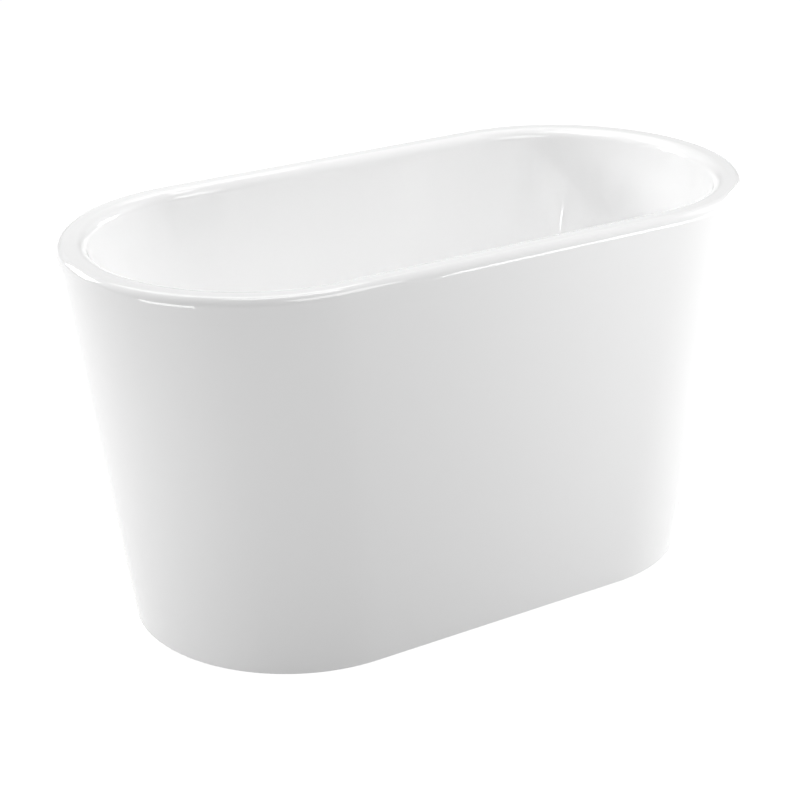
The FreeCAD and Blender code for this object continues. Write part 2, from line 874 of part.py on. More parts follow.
at_four_corners("block_screws", block_screws)

bracket = document.addObject("PartDesign::Body", "bracket")
BRACKET_INNER_FACE = "block_face - bracket_thickness"
bracket_outline = outline(
    bracket,
    "bracket_outline",
    "YZ_Plane",
    [
        ("block_face - bracket_foot", BAR_TOP),
        ("block_face - bracket_foot", BRACKET_TOP),
        ("block_face", BRACKET_TOP),
        ("block_face", f"{BRACKET_TOP} - bracket_drop"),
        (BRACKET_INNER_FACE, f"{BRACKET_TOP} - bracket_drop"),
        (BRACKET_INNER_FACE, BAR_TOP),
    ],
    "bar_distance - bracket_width / 2",
)
angle = extrude(bracket, "bracket_angle", "Pad", bracket_outline, "bracket_width")


def edge_along_x(feature, deep, up):
    """Names the straight edge of a feature that runs along X through a point."""
    names = []
    for index, edge in enumerate(feature.Shape.Edges, start=1):
        box = edge.BoundBox
        off_line = max(abs(box.YMin - value(deep)), abs(box.YMax - value(deep)), abs(box.ZMin - value(up)),
                       abs(box.ZMax - value(up)))
        if off_line < LEVEL_TOLERANCE:
            names.append(f"Edge{index}")
    return names


bend = fillet(bracket, "bracket_inner_bend", angle, edge_along_x(angle, BRACKET_INNER_FACE, BAR_TOP), "bracket_bend")
fillet(bracket, "bracket_outer_bend", bend, edge_along_x(bend, "block_face", BRACKET_TOP),
       "bracket_bend + bracket_thickness")
for spot, height in BLOCK_SCREW_PLACES.items():
    cylinder(
        bracket,
        f"bracket_{spot}_hole",
        "Subtractive",
        "screw_radius + thread_clearance",
        "2 * bracket_thickness",
        ("bar_distance", "block_face - 1.5 * bracket_thickness", height),
        AGAINST_X,
        "90",
    )
bracket_bolts = []
BOLT_LENGTH = "bracket_thickness + bar_wall + screw_tip"
for spot in ("near", "far"):
    cylinder(
        bracket,
        f"bracket_{spot}_bolt_hole",
        "Subtractive",
        "screw_radius + thread_clearance",
        "2 * bracket_thickness",
        ("bar_distance", f"bolt_{spot}_distance", f"{BAR_TOP} - bracket_thickness / 2"),
    )
    bolt = screw(f"bracket_bolt_{spot}", BOLT_LENGTH)
    place(bolt, "bar_distance", f"bolt_{spot}_distance", f"{BRACKET_TOP} - ({BOLT_LENGTH})")
    bracket_bolts.append(bolt)
at_each_corner("skirt_bracket", bracket)
at_four_corners("bracket_bolts", bracket_bolts)


def turned_body(name, corners):
    """Makes a turned body that isn't a node by itself."""
    body = document.addObject("PartDesign::Body", name)
    sketch = outline(body, name + "_outline", "XZ_Plane", corners)
    feature = body.newObject("PartDesign::Revolution", name + "_turned")
    feature.Profile = sketch
    feature.ReferenceAxis = (sketch, ["V_Axis"])
    document.recompute()
    return body


# Four screw feet. A pad stands on the floor and its stem turns in it, by a collar for a spanner. The stem's
# thread runs in a nut welded under the tube, and a second nut locks it.
pad = turned_body("pad", [
    ("0", "0"),
    ("pad_radius - pad_bevel", "0"),
    ("pad_radius", "pad_bevel"),
    ("pad_radius", "pad_edge"),
    ("pad_top_radius", "pad_height"),
    ("stem_radius + fit_clearance", "pad_height"),
    ("stem_radius + fit_clearance", "pad_floor"),
    ("0", "pad_floor"),
])
place(pad, "bar_distance", "foot_distance", "0")
at_each_corner("foot_pad", pad)

STEM_BOTTOM = "pad_floor + end_clearance"
STEM_LENGTH = f"stem_top - ({STEM_BOTTOM})"


def hexagon(name, radius, height, bottom):
    """Makes a hexagon bar round the back right stem's axis, with its corners bevelled at both ends."""
    bar = document.addObject("Part::Prism", name + "_bar")
    bar.Polygon = 6
    bind(bar, "Circumradius", radius)
    bind(bar, "Height", height)
    place(bar, "bar_distance", "foot_distance", bottom)
    bevels = turned_body(name + "_bevels", [
        ("0", "0"),
        (f"{radius} - nut_bevel", "0"),
        (radius, "nut_bevel / 2"),
        (radius, f"{height} - nut_bevel / 2"),
        (f"{radius} - nut_bevel", height),
        ("0", height),
    ])
    place(bevels, "bar_distance", "foot_distance", bottom)
    bevelled = document.addObject("Part::Common", name)
    bevelled.Base = bar
    bevelled.Tool = bevels
    return bevelled


stem_rod = turned_body("stem_rod", [
    ("0", "0"),
    ("stem_radius", "0"),
    ("stem_radius", f"{STEM_LENGTH} - stem_bevel"),
    ("stem_radius - stem_bevel", STEM_LENGTH),
    ("0", STEM_LENGTH),
])
place(stem_rod, "bar_distance", "foot_distance", STEM_BOTTOM)
stem = document.addObject("Part::Fuse", "stem")
stem.Base = stem_rod
stem.Tool = hexagon("stem_collar", "stem_collar_radius", "stem_collar_height", "pad_height + end_clearance")
document.recompute()
at_each_corner("foot_stem", stem)


def hexagon_nut(name, height, bottom):
    """Makes one hexagon nut round the back right stem."""
    blank = hexagon(name + "_blank", "nut_radius", height, bottom)
    bore = rod(name + "_bore", "stem_radius + fit_clearance", f"{height} + 2 * overrun")
    place(bore, "bar_distance", "foot_distance", f"{bottom} - overrun")
    return cut(name, blank, [bore])


at_four_corners("leg_bar_nuts", [hexagon_nut("bar_nut", "bar_nut_height", f"{BAR_UNDERSIDE} - bar_nut_height")])
at_four_corners("leg_lock_nuts", [hexagon_nut(
    "lock_nut", "lock_nut_height", f"{BAR_UNDERSIDE} - bar_nut_height - lock_nut_height")])

# The waste: a chrome flange lies in the floor's recess on a gasket, and its threaded tube screws into the
# body below, which squeezes a second gasket against the underside of the floor.
ring("waste_gasket_upper", "gasket_radius", "waste_tube_radius + lip_clearance", "gasket_thickness")
place(NODES[-1], "0", "0", SEAT)
FLANGE_BOTTOM = f"{SEAT} + gasket_thickness - waste_tube_length"
FLANGE_TOP = f"{SEAT} + gasket_thickness + flange_thickness"
flange = turned("waste_flange", [
    ("flange_radius", "waste_tube_length"),
    ("flange_radius", "waste_tube_length + flange_edge"),
    ("flange_radius - flange_bevel", "waste_tube_length + flange_thickness"),
    ("dish_radius", "waste_tube_length + flange_thickness"),
    ("waste_tube_bore", "waste_tube_length + flange_thickness - dish_depth"),
    ("waste_tube_bore", "0"),
    ("waste_tube_radius", "0"),
    ("waste_tube_radius", "waste_tube_length"),
])
place(flange, "0", "0", FLANGE_BOTTOM)
# A four-armed web across the tube holds the plug's post.
WEB_REACH = "(waste_tube_radius + waste_tube_bore) / 2"
for name, reach, half in (("along", WEB_REACH, "web_width / 2"), ("across", "web_width / 2", WEB_REACH)):
    arm = outline(flange, f"web_{name}_outline", "XY_Plane", [
        (reach, half),
        (f"-({reach})", half),
        (f"-({reach})", f"-({half})"),
        (reach, f"-({half})"),
    ], "web_height")
    extrude(flange, f"web_{name}", "Pad", arm, "web_thickness")
WEB_BOSS_BOTTOM = "web_height + web_thickness - web_boss_height"
cylinder(flange, "web_boss", "Additive", "web_boss_radius", "web_boss_height", ("0", "0", WEB_BOSS_BOTTOM))
cylinder(
    flange,
    "web_boss_hole",
    "Subtractive",
    "post_radius + thread_clearance",
    "web_boss_height + 2 * bond_gap",
    ("0", "0", f"{WEB_BOSS_BOTTOM} - bond_gap"),
)
POST_BOTTOM = f"{FLANGE_BOTTOM} + {WEB_BOSS_BOTTOM}"
POST_COLLAR_TOP = "web_boss_height + post_collar_height"
post = turned("clicker_post", [
    ("0", "0"),
    ("post_radius", "0"),
    ("post_radius", "web_boss_height"),
    ("post_collar_radius", "web_boss_height"),
    ("post_collar_radius", POST_COLLAR_TOP),
    ("post_pin_radius", POST_COLLAR_TOP),
    ("post_pin_radius", f"{POST_COLLAR_TOP} + post_pin_length"),
    ("0", f"{POST_COLLAR_TOP} + post_pin_length"),
])
place(post, "0", "0", POST_BOTTOM)

# The plug is drawn open, lifted by its whole travel. Shut, its seal lies just over the flange's dish.
SEAL_SHUT = (f"{FLANGE_TOP} - dish_depth * (dish_radius - plug_seal_radius) / (dish_radius - waste_tube_bore)"
             " + plug_seal_clearance")
SEAL_OPEN = f"{SEAL_SHUT} + plug_travel"
CAP_UNDERSIDE = f"{SEAL_OPEN} + plug_seal_thickness"
ring("plug_seal", "plug_seal_radius", "cap_boss_radius + fit_clearance", "plug_seal_thickness")
place(NODES[-1], "0", "0", SEAL_OPEN)
cap = turned("plug_cap", [
    ("0", "cap_boss_height"),
    ("cap_boss_bore", "cap_boss_height"),
    ("cap_boss_bore", "0"),
    ("cap_boss_radius", "0"),
    ("cap_boss_radius", "cap_boss_height"),
    ("cap_radius", "cap_boss_height"),
    ("cap_radius", "cap_boss_height + cap_thickness"),
    ("0", "cap_boss_height + cap_thickness"),
])
place(cap, "0", "0", f"{CAP_UNDERSIDE} - cap_boss_height")
fillet(cap, "cap_dome", cap.Tip, level_edges(cap.Tip, "cap_boss_height + cap_thickness"), "cap_round")
ring("plug_sleeve", "sleeve_radius", "sleeve_bore", "sleeve_length")
place(NODES[-1], "0", "0", f"{CAP_UNDERSIDE} - sleeve_length")


# The plug's spring stands on the post's collar inside the sleeve. Each half turn of its coil is a pair of
# arcs that meet without a kink.
def helix_point(angle, radius, rise):
    """A point of the coil and the coil's direction there, at an angle from its start."""
    point = FreeCAD.Vector(radius * math.cos(angle), radius * math.sin(angle), rise * angle)
    along = FreeCAD.Vector(-radius * math.sin(angle), radius * math.cos(angle), rise)
    return point, along.normalize()


def arc_between(start, along, end):
    """The arc that leaves a point in a direction and ends at another point."""
    chord = end - start
    half = chord.Length / 2
    line = FreeCAD.Vector(chord).normalize()
    lean = along - line * along.dot(line)
    bulge = half * math.tan(math.atan2(lean.Length, along.dot(line)) / 2)
    middle = (start + end) / 2 + lean.normalize() * bulge
    return Part.Arc(start, middle, end).toShape()


def biarc(start, start_along, end, end_along):
    """Two arcs from one point and direction to another, which meet without a kink."""
    chord = end - start
    total = start_along + end_along
    spread = 2 * (1 - start_along.dot(end_along))
    along_total = chord.dot(total)
    reach = (math.sqrt(along_total ** 2 + spread * chord.dot(chord)) - along_total) / spread
    near = start + start_along * reach
    far = end - end_along * reach
    meeting = (near + far) / 2
    return [arc_between(start, start_along, meeting), arc_between(meeting, (far - near).normalize(), end)]


SPRING_BOTTOM = f"{POST_BOTTOM} + {POST_COLLAR_TOP}"
spring_height = value(f"{CAP_UNDERSIDE} - spring_gap - ({SPRING_BOTTOM})")
wire_radius = value("spring_wire / 2")
spring_radius = value("spring_radius")
half_turns = int(2 * SIZES["spring_turns"])
rise = (spring_height - 2 * wire_radius) / (half_turns * math.pi)
arcs = []
for step in range(half_turns):
    here = helix_point(step * math.pi, spring_radius, rise)
    there = helix_point((step + 1) * math.pi, spring_radius, rise)
    arcs.extend(biarc(*here, *there))
first_point, first_along = helix_point(0, spring_radius, rise)
wire_section = Part.Wire([Part.Circle(first_point, first_along, wire_radius).toShape()])
spring = document.addObject("Part::Feature", "plug_spring")
spring.Shape = Part.Wire(arcs).makePipeShell([wire_section], True, False)
place(spring, "0", "0", f"{SPRING_BOTTOM} + spring_wire / 2")
node(spring, "plug_spring")
print("least gap between the spring's turns:", round(rise * 2 * math.pi - 2 * wire_radius, 2))

# Under the floor the body takes the flange's tube from above, the overflow from the front and the trap
# from below. A pipe enters a socket up to a shoulder, and a nut squeezes a seal round it.
TRAP_THREAD = "trap_pipe_radius + pipe_clearance + socket_wall"
OVERFLOW_THREAD = "overflow_pipe_radius + pipe_clearance + socket_wall"
BODY_BOTTOM = f"{SEAT_UNDERSIDE} - lower_gasket_thickness - body_height"
TUBE_SEAT = f"{FLANGE_BOTTOM} - end_clearance - ({BODY_BOTTOM})"
SOCKET_TOP = "socket_depth + shoulder_width"
ring("waste_gasket_lower", "flange_radius", "lower_gasket_bore", "lower_gasket_thickness")
place(NODES[-1], "0", "0", f"{SEAT_UNDERSIDE} - lower_gasket_thickness")
waste_body = turned("waste_body", [
    (TRAP_THREAD, "0"),
    (TRAP_THREAD, "body_tail_length"),
    ("body_radius", f"body_tail_length + body_radius - ({TRAP_THREAD})"),
    ("body_radius", "body_height - body_flange_thickness"),
    ("body_flange_radius", "body_height - body_flange_thickness"),
    ("body_flange_radius", "body_height"),
    ("waste_tube_radius + fit_clearance", "body_height"),
    ("waste_tube_radius + fit_clearance", TUBE_SEAT),
    ("body_bore", TUBE_SEAT),
    ("body_bore", f"{SOCKET_TOP} + body_bore - trap_pipe_radius + shoulder_width"),
    ("trap_pipe_radius - shoulder_width", SOCKET_TOP),
    ("trap_pipe_radius - shoulder_width", "socket_depth"),
    ("trap_pipe_radius + pipe_clearance", "socket_depth"),
    ("trap_pipe_radius + pipe_clearance", "0"),
])
place(waste_body, "0", "0", BODY_BOTTOM)
INLET_ROOT = "(body_bore + body_radius) / 2"
cylinder(
    waste_body,
    "inlet",
    "Additive",
    OVERFLOW_THREAD,
    f"inlet_reach - {INLET_ROOT}",
    ("0", f"-{INLET_ROOT}", "inlet_height"),
    ALONG_X,
    "90",
)
cylinder(
    waste_body,
    "inlet_socket",
    "Subtractive",
    "overflow_pipe_radius + pipe_clearance",
    "socket_depth + overrun",
    ("0", "socket_depth - inlet_reach", "inlet_height"),
    ALONG_X,
    "90",
)
cylinder(
    waste_body,
    "inlet_bore",
    "Subtractive",
    "overflow_pipe_radius - shoulder_width",
    "inlet_reach",
    ("0", "0", "inlet_height"),
    ALONG_X,
    "90",
)


def union_nut(name, pipe, thread):
    """Makes a nut whose lip passes a pipe and whose bore runs over a thread, with flutes round it for the hand."""
    inner = f"{thread} + thread_clearance"
    nut = turned(name, [
        (f"{pipe} + lip_clearance", "0"),
        (f"{inner} + nut_wall - nut_lip / 2", "0"),
        (f"{inner} + nut_wall", "nut_lip / 2"),
        (f"{inner} + nut_wall", "nut_lip + union_seal_thickness + nut_reach"),
        (inner, "nut_lip + union_seal_thickness + nut_reach"),
        (inner, "nut_lip"),
        (f"{pipe} + lip_clearance", "nut_lip"),
    ])
    flute = cylinder(
        nut,
        name + "_flute",
        "Subtractive",
        "flute_radius",
        "union_seal_thickness + nut_reach + overrun",
        (f"{inner} + nut_wall + flute_radius - flute_depth", "0", "nut_lip"),
    )
    flutes = nut.newObject("PartDesign::PolarPattern", name + "_flutes")
    flutes.Originals = [flute]
    flutes.Axis = (plane(nut, "Z_Axis"), [""])
    flutes.Angle = 360
    bind(flutes, "Occurrences", "flute_count")
    nut.Tip = flutes
    document.recompute()
    return nut


def union_seal(name, pipe, thread):
    """Makes the seal that a nut squeezes between its lip and the end of a thread."""
    return ring(name, thread, f"{pipe} + pipe_clearance", "union_seal_thickness")


trap_nut = union_nut("trap_nut", "trap_pipe_radius", TRAP_THREAD)
place(trap_nut, "0", "0", f"{BODY_BOTTOM} - union_seal_thickness - nut_lip")
trap_seal = union_seal("trap_seal", "trap_pipe_radius", TRAP_THREAD)
place(trap_seal, "0", "0", f"{BODY_BOTTOM} - union_seal_thickness")


def pipe(body, name, path, section):
    """Carries a section along a path."""
    feature = body.newObject("PartDesign::AdditivePipe", name)
    feature.Profile = section
    feature.Spine = path
    document.recompute()
    return feature


def point(right, up):
    """A point of a sketch, worked out from formulas."""
    return FreeCAD.Vector(value(right), value(up), 0)


# The trap: down from the waste, round under and up, over and down to the floor's drain.
trap = new_body("trap_pipe")
TRAP_TOP = f"{BODY_BOTTOM} + socket_depth - end_clearance"
trap_path = new_sketch(trap, "trap_path", "XZ_Plane", "0")
low_bend = Part.Circle(point("trap_bend_radius", "trap_bend_height"), ALONG_Z, value("trap_bend_radius"))
high_bend = Part.Circle(point("3 * trap_bend_radius", "trap_bend_height"), ALONG_Z, value("trap_bend_radius"))
trap_path.addGeometry(Part.LineSegment(point("0", TRAP_TOP), point("0", "trap_bend_height")))
trap_path.addGeometry(Part.ArcOfCircle(low_bend, math.pi, 2 * math.pi))
trap_path.addGeometry(Part.ArcOfCircle(high_bend, 0, math.pi))
trap_path.addGeometry(Part.LineSegment(
    point("4 * trap_bend_radius", "trap_bend_height"), point("4 * trap_bend_radius", "trap_outlet_height")))
pin(trap_path, "top", 0, 1, "0", TRAP_TOP)
pin(trap_path, "low_bend_start", 0, 2, "0", "trap_bend_height")
pin(trap_path, "low_bend_centre", 1, 3, "trap_bend_radius", "trap_bend_height")
trap_path.addConstraint(Sketcher.Constraint("Coincident", 0, 2, 1, 1))
dimension(trap_path, "low_bend_end", "trap_bend_height", "DistanceY", -1, 1, 1, 2)
pin(trap_path, "high_bend_centre", 2, 3, "3 * trap_bend_radius", "trap_bend_height")
pin(trap_path, "high_bend_end", 3, 1, "4 * trap_bend_radius", "trap_bend_height")
trap_path.addConstraint(Sketcher.Constraint("Coincident", 2, 1, 3, 1))
dimension(trap_path, "high_bend_start", "trap_bend_height", "DistanceY", -1, 1, 2, 2)
pin(trap_path, "outlet", 3, 2, "4 * trap_bend_radius", "trap_outlet_height")
trap_section = circles(
    trap, "trap_section", "XY_Plane", ("0", "0"), ["trap_pipe_radius", "trap_pipe_radius - trap_pipe_wall"], TRAP_TOP)
pipe(trap, "trap_bend", trap_path, trap_section)

# The overflow: a cup behind the front wall with a flange and a gasket, and a cover in front of it. One
# long screw through the cover's hub pulls the cup's flange and the gasket against the wall.
BEHIND_WALL = "basin_wall + overflow_gasket_thickness"
HUB = f"{BEHIND_WALL} + elbow_flange_thickness"


def on_front_wall(item, inward):
    """Seats an object on the front wall, with its own upright axis square to the wall."""
    turn(item, AGAINST_X, OVERFLOW_TILT)
    place(item, *on_overflow(inward))


cover = turned("overflow_cover", [
    ("screw_radius + fit_clearance", "0"),
    ("cover_hub_radius", "0"),
    ("cover_hub_radius", f"{HUB} + cover_depth"),
    ("cover_radius - cover_thickness", f"{HUB} + cover_depth"),
    ("cover_radius - cover_thickness", f"{HUB} + cover_stand"),
    ("cover_radius", f"{HUB} + cover_stand"),
    ("cover_radius", f"{HUB} + cover_depth + cover_thickness"),
    ("screw_radius + fit_clearance", f"{HUB} + cover_depth + cover_thickness"),
])
fillet(cover, "cover_edge", cover.Tip, level_edges(cover.Tip, f"{HUB} + cover_depth + cover_thickness")[:1],
       "cover_round")
on_front_wall(cover, f"-({HUB})")
overflow_screw = node(screw("overflow_screw", "overflow_screw_length"), "overflow_screw")
on_front_wall(overflow_screw, "cover_depth + cover_thickness - overflow_screw_length")
overflow_gasket = ring("overflow_gasket", "overflow_gasket_radius", "elbow_radius - elbow_wall",
                       "overflow_gasket_thickness")
on_front_wall(overflow_gasket, f"-({BEHIND_WALL})")
ELBOW_SHOULDER = "elbow_depth - elbow_flange_thickness"
elbow = turned("overflow_elbow", [
    ("0", "0"),
    ("elbow_radius", "0"),
    ("elbow_radius", ELBOW_SHOULDER),
    ("elbow_flange_radius", ELBOW_SHOULDER),
    ("elbow_flange_radius", "elbow_depth"),
    ("elbow_radius - elbow_wall", "elbow_depth"),
    ("elbow_radius - elbow_wall", "elbow_wall"),
    ("elbow_boss_radius", "elbow_wall"),
    ("elbow_boss_radius", ELBOW_SHOULDER),
    ("screw_radius + thread_clearance", ELBOW_SHOULDER),
    ("screw_radius + thread_clearance", "elbow_wall"),
    ("0", "elbow_wall"),
])
STUB_UP = f"{BEHIND_WALL} + elbow_depth - elbow_pipe_depth"
STUB_ROOT = "elbow_radius - elbow_wall / 2"
cylinder(
    elbow,
    "elbow_stub",
    "Additive",
    OVERFLOW_THREAD,
    f"elbow_stub_length - ({STUB_ROOT})",
    ("0", STUB_ROOT, STUB_UP),
    AGAINST_X,
    "90",
)
cylinder(
    elbow,
    "elbow_socket",
    "Subtractive",
    "overflow_pipe_radius + pipe_clearance",
    "socket_depth + overrun",
    ("0", "elbow_stub_length - socket_depth", STUB_UP),
    AGAINST_X,
    "90",
)
cylinder(
    elbow,
    "elbow_bore",
    "Subtractive",
    "overflow_pipe_radius - shoulder_width",
    "elbow_stub_length - elbow_radius + 2 * elbow_wall",
    ("0", "elbow_radius - 2 * elbow_wall", STUB_UP),
    AGAINST_X,
    "90",
)
on_front_wall(elbow, f"-({BEHIND_WALL}) - elbow_depth")

top_nut = union_nut("overflow_top_nut", "overflow_pipe_radius", OVERFLOW_THREAD)
turn(top_nut, ALONG_X, "side_angle")
place(top_nut, *on_overflow("-elbow_pipe_depth", "elbow_stub_length + union_seal_thickness + nut_lip"))
top_seal = union_seal("overflow_top_seal", "overflow_pipe_radius", OVERFLOW_THREAD)
turn(top_seal, ALONG_X, "side_angle")
place(top_seal, *on_overflow("-elbow_pipe_depth", "elbow_stub_length + union_seal_thickness"))
INLET_UP = f"{BODY_BOTTOM} + inlet_height"
bottom_nut = union_nut("overflow_bottom_nut", "overflow_pipe_radius", OVERFLOW_THREAD)
turn(bottom_nut, AGAINST_X, "90")
place(bottom_nut, "0", "-inlet_reach - union_seal_thickness - nut_lip", INLET_UP)
bottom_seal = union_seal("overflow_bottom_seal", "overflow_pipe_radius", OVERFLOW_THREAD)
turn(bottom_seal, AGAINST_X, "90")
place(bottom_seal, "0", "-inlet_reach - union_seal_thickness", INLET_UP)

# The overflow pipe runs level from the waste, bends up and follows the slope of the basin's front wall.
overflow_pipe = new_body("overflow_pipe")
NEAR_END = "socket_depth - inlet_reach - end_clearance"
_, FAR_DEEP, FAR_UP = on_overflow("-elbow_pipe_depth", "elbow_stub_length - socket_depth + end_clearance")
CORNER_DEEP = f"{FAR_DEEP} + ({FAR_UP} - ({INLET_UP})) * tan(side_angle)"
BEND_TANGENT = "overflow_bend_radius * tan((90 - side_angle) / 2)"
BEND_NEAR = f"{CORNER_DEEP} + {BEND_TANGENT}"
BEND_FAR_DEEP = f"{CORNER_DEEP} - {BEND_TANGENT} * sin(side_angle)"
BEND_FAR_UP = f"{INLET_UP} + {BEND_TANGENT} * cos(side_angle)"
BEND_CENTRE_UP = f"{INLET_UP} + overflow_bend_radius"
overflow_path = new_sketch(overflow_pipe, "overflow_path", "YZ_Plane", "0")
bend_circle = Part.Circle(point(BEND_NEAR, BEND_CENTRE_UP), ALONG_Z, value("overflow_bend_radius"))
overflow_path.addGeometry(Part.LineSegment(point(NEAR_END, INLET_UP), point(BEND_NEAR, INLET_UP)))
overflow_path.addGeometry(Part.ArcOfCircle(
    bend_circle, math.pi + math.radians(value("side_angle")), 3 * math.pi / 2))
overflow_path.addGeometry(Part.LineSegment(point(BEND_FAR_DEEP, BEND_FAR_UP), point(FAR_DEEP, FAR_UP)))
pin(overflow_path, "near_end", 0, 1, NEAR_END, INLET_UP)
pin(overflow_path, "bend_near", 0, 2, BEND_NEAR, INLET_UP)
pin(overflow_path, "bend_centre", 1, 3, BEND_NEAR, BEND_CENTRE_UP)
pin(overflow_path, "bend_far", 2, 1, BEND_FAR_DEEP, BEND_FAR_UP)
pin(overflow_path, "far_end", 2, 2, FAR_DEEP, FAR_UP)
overflow_path.addConstraint(Sketcher.Constraint("Coincident", 1, 1, 2, 1))
dimension(overflow_path, "bend_end", BEND_NEAR, "DistanceX", -1, 1, 1, 2)
overflow_section = circles(
    overflow_pipe,
    "overflow_section",
    "XZ_Plane",
    ("0", INLET_UP),
    ["overflow_pipe_radius", "overflow_pipe_radius - overflow_pipe_wall"],
    f"-({NEAR_END})",
)
pipe(overflow_pipe, "overflow_bend", overflow_path, overflow_section)

# Nothing is written unless every object has worked out and every piece is a sound solid.
document.recompute()
failed = [item.Name for item in document.Objects if {"Invalid", "Error"} & set(item.State)]
if failed:
    raise RuntimeError("objects that failed: " + ", ".join(failed))
for item in NODES:
    if item.Shape.isNull() or not item.Shape.isValid() or not item.Shape.Solids:
        raise RuntimeError("no sound solid: " + item.Label)
os.makedirs("parts", exist_ok=True)
for item in NODES:
    item.Shape.exportStep(f"parts/{item.Label}.step")
print("pieces written:", len(NODES))
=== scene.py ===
from math import asin, atan, cos, pi, radians, sin, sqrt, tan

import bmesh
import bpy
import numpy as np
from mathutils import Matrix, Vector


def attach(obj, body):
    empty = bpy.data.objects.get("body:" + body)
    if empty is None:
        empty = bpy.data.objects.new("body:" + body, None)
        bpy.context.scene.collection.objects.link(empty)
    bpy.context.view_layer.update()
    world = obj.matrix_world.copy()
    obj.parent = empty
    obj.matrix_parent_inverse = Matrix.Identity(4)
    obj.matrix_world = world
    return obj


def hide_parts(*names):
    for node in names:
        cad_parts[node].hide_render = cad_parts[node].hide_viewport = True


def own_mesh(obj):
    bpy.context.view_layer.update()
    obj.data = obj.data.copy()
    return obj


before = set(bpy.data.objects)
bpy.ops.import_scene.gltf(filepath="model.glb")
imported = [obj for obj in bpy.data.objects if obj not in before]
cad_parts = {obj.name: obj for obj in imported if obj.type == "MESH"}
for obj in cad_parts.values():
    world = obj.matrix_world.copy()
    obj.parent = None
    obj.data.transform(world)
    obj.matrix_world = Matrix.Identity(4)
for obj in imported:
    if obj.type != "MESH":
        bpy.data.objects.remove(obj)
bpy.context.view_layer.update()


# The studio: a painted floor whose far edge sweeps up all round, an even pale sky and nine soft boxes.
# The camera looks down on the bath's front from its left, as in a catalogue picture.
def linear(code):
    """Turns an sRGB hex colour into linear red, green and blue, with an alpha of 1. As sRGB is defined, a
    dark share is divided by 12.92, and any other is raised by 0.055, divided by 1.055 and put to the power
    2.4."""
    shares = [int(code[start:start + 2], 16) / 255 for start in (1, 3, 5)]
    return [s / 12.92 if s <= 0.04045 else ((s + 0.055) / 1.055) ** 2.4 for s in shares] + [1]


def add(tree, kind, inputs={}, **settings):
    """Adds one shader node. An input gets a value, or a link from a socket or from a node's first output."""
    node = tree.nodes.new("ShaderNode" + kind)
    for name, setting in settings.items():
        setattr(node, name, setting)
    for name, given in inputs.items():
        if isinstance(given, bpy.types.Node):
            given = given.outputs[0]
        if isinstance(given, bpy.types.NodeSocket):
            tree.links.new(given, node.inputs[name])
        else:
            node.inputs[name].default_value = given
    return node


def blank_material(name):
    """Makes a material with no nodes yet, and returns it with its tree."""
    made = bpy.data.materials.new(name)
    made.use_nodes = True
    made.node_tree.nodes.clear()
    return made, made.node_tree


# Matt floor paint. To the camera and in reflections it also glows, so that it shows white and still keeps
# the bath's shadow. Its own colour is kept low, so that the acrylic's steep edges don't mirror more than
# white.
FLOOR_GLOW = 0.98
floor_paint, tree = blank_material("matt floor paint")
rays = add(tree, "LightPath").outputs
seen = add(tree, "Math", {0: rays["Is Camera Ray"], 1: rays["Is Glossy Ray"]}, operation="MAXIMUM")
seen_anyhow = add(tree, "Math", {0: seen, 1: rays["Is Transmission Ray"]}, operation="MAXIMUM")
strength = add(tree, "Math", {0: seen_anyhow, 1: FLOOR_GLOW}, operation="MULTIPLY")
glow = add(tree, "Emission", {"Color": linear("#FFFFFF"), "Strength": strength})
paint = add(tree, "BsdfDiffuse", {"Color": linear("#8C8C8C"), "Roughness": 0.5})
both = add(tree, "AddShader", {0: glow, 1: paint})
add(tree, "OutputMaterial", {"Surface": both})

# The floor, in metres: a level disc, and a sweep that rises from its edge. Its points are the reach times
# the cosine and sine of each direction, first round the disc and then round the top of the sweep.
FLOOR_REACH, SWEEP_REACH, SWEEP_HEIGHT, FLOOR_SIDES = 30, 31, 3.2, 64
direction = np.linspace(0, 2 * pi, FLOOR_SIDES + 1)[:-1]
outwards = np.stack([np.cos(direction), np.sin(direction), 0 * direction], -1)
floor_points = np.concatenate([FLOOR_REACH * outwards, SWEEP_REACH * outwards + [0, 0, SWEEP_HEIGHT]])
first = np.arange(FLOOR_SIDES)
second = (first + 1) % FLOOR_SIDES
sweep_faces = np.stack([first, second, second + FLOOR_SIDES, first + FLOOR_SIDES], -1)
floor_mesh = bpy.data.meshes.new("floor")
floor_mesh.from_pydata(floor_points.tolist(), [], [first.tolist(), *sweep_faces.tolist()])
floor_mesh.materials.append(floor_paint)
floor = bpy.data.objects.new("floor", floor_mesh)
bpy.context.scene.collection.objects.link(floor)

SKY_GLOW = 0.1
sky = bpy.data.worlds.new("studio sky")
sky.use_nodes = True
sky.node_tree.nodes.clear()
background = add(sky.node_tree, "Background", {"Color": linear("#FFFFFF"), "Strength": SKY_GLOW})
add(sky.node_tree, "OutputWorld", {"Surface": background})
bpy.context.scene.world = sky


def soft_box(name, place, aim, width, height, watts):
    """Hangs a rectangular lamp of a width and height at a place, all in metres, turned to face a point."""
    lamp = bpy.data.lights.new(name, "AREA")
    lamp.shape = "RECTANGLE"
    lamp.size, lamp.size_y, lamp.energy = width, height, watts
    hung = bpy.data.objects.new(name, lamp)
    hung.location = place
    hung.rotation_euler = (Vector(aim) - Vector(place)).to_track_quat("-Z", "Y").to_euler()
    hung.visible_camera = False
    bpy.context.scene.collection.objects.link(hung)


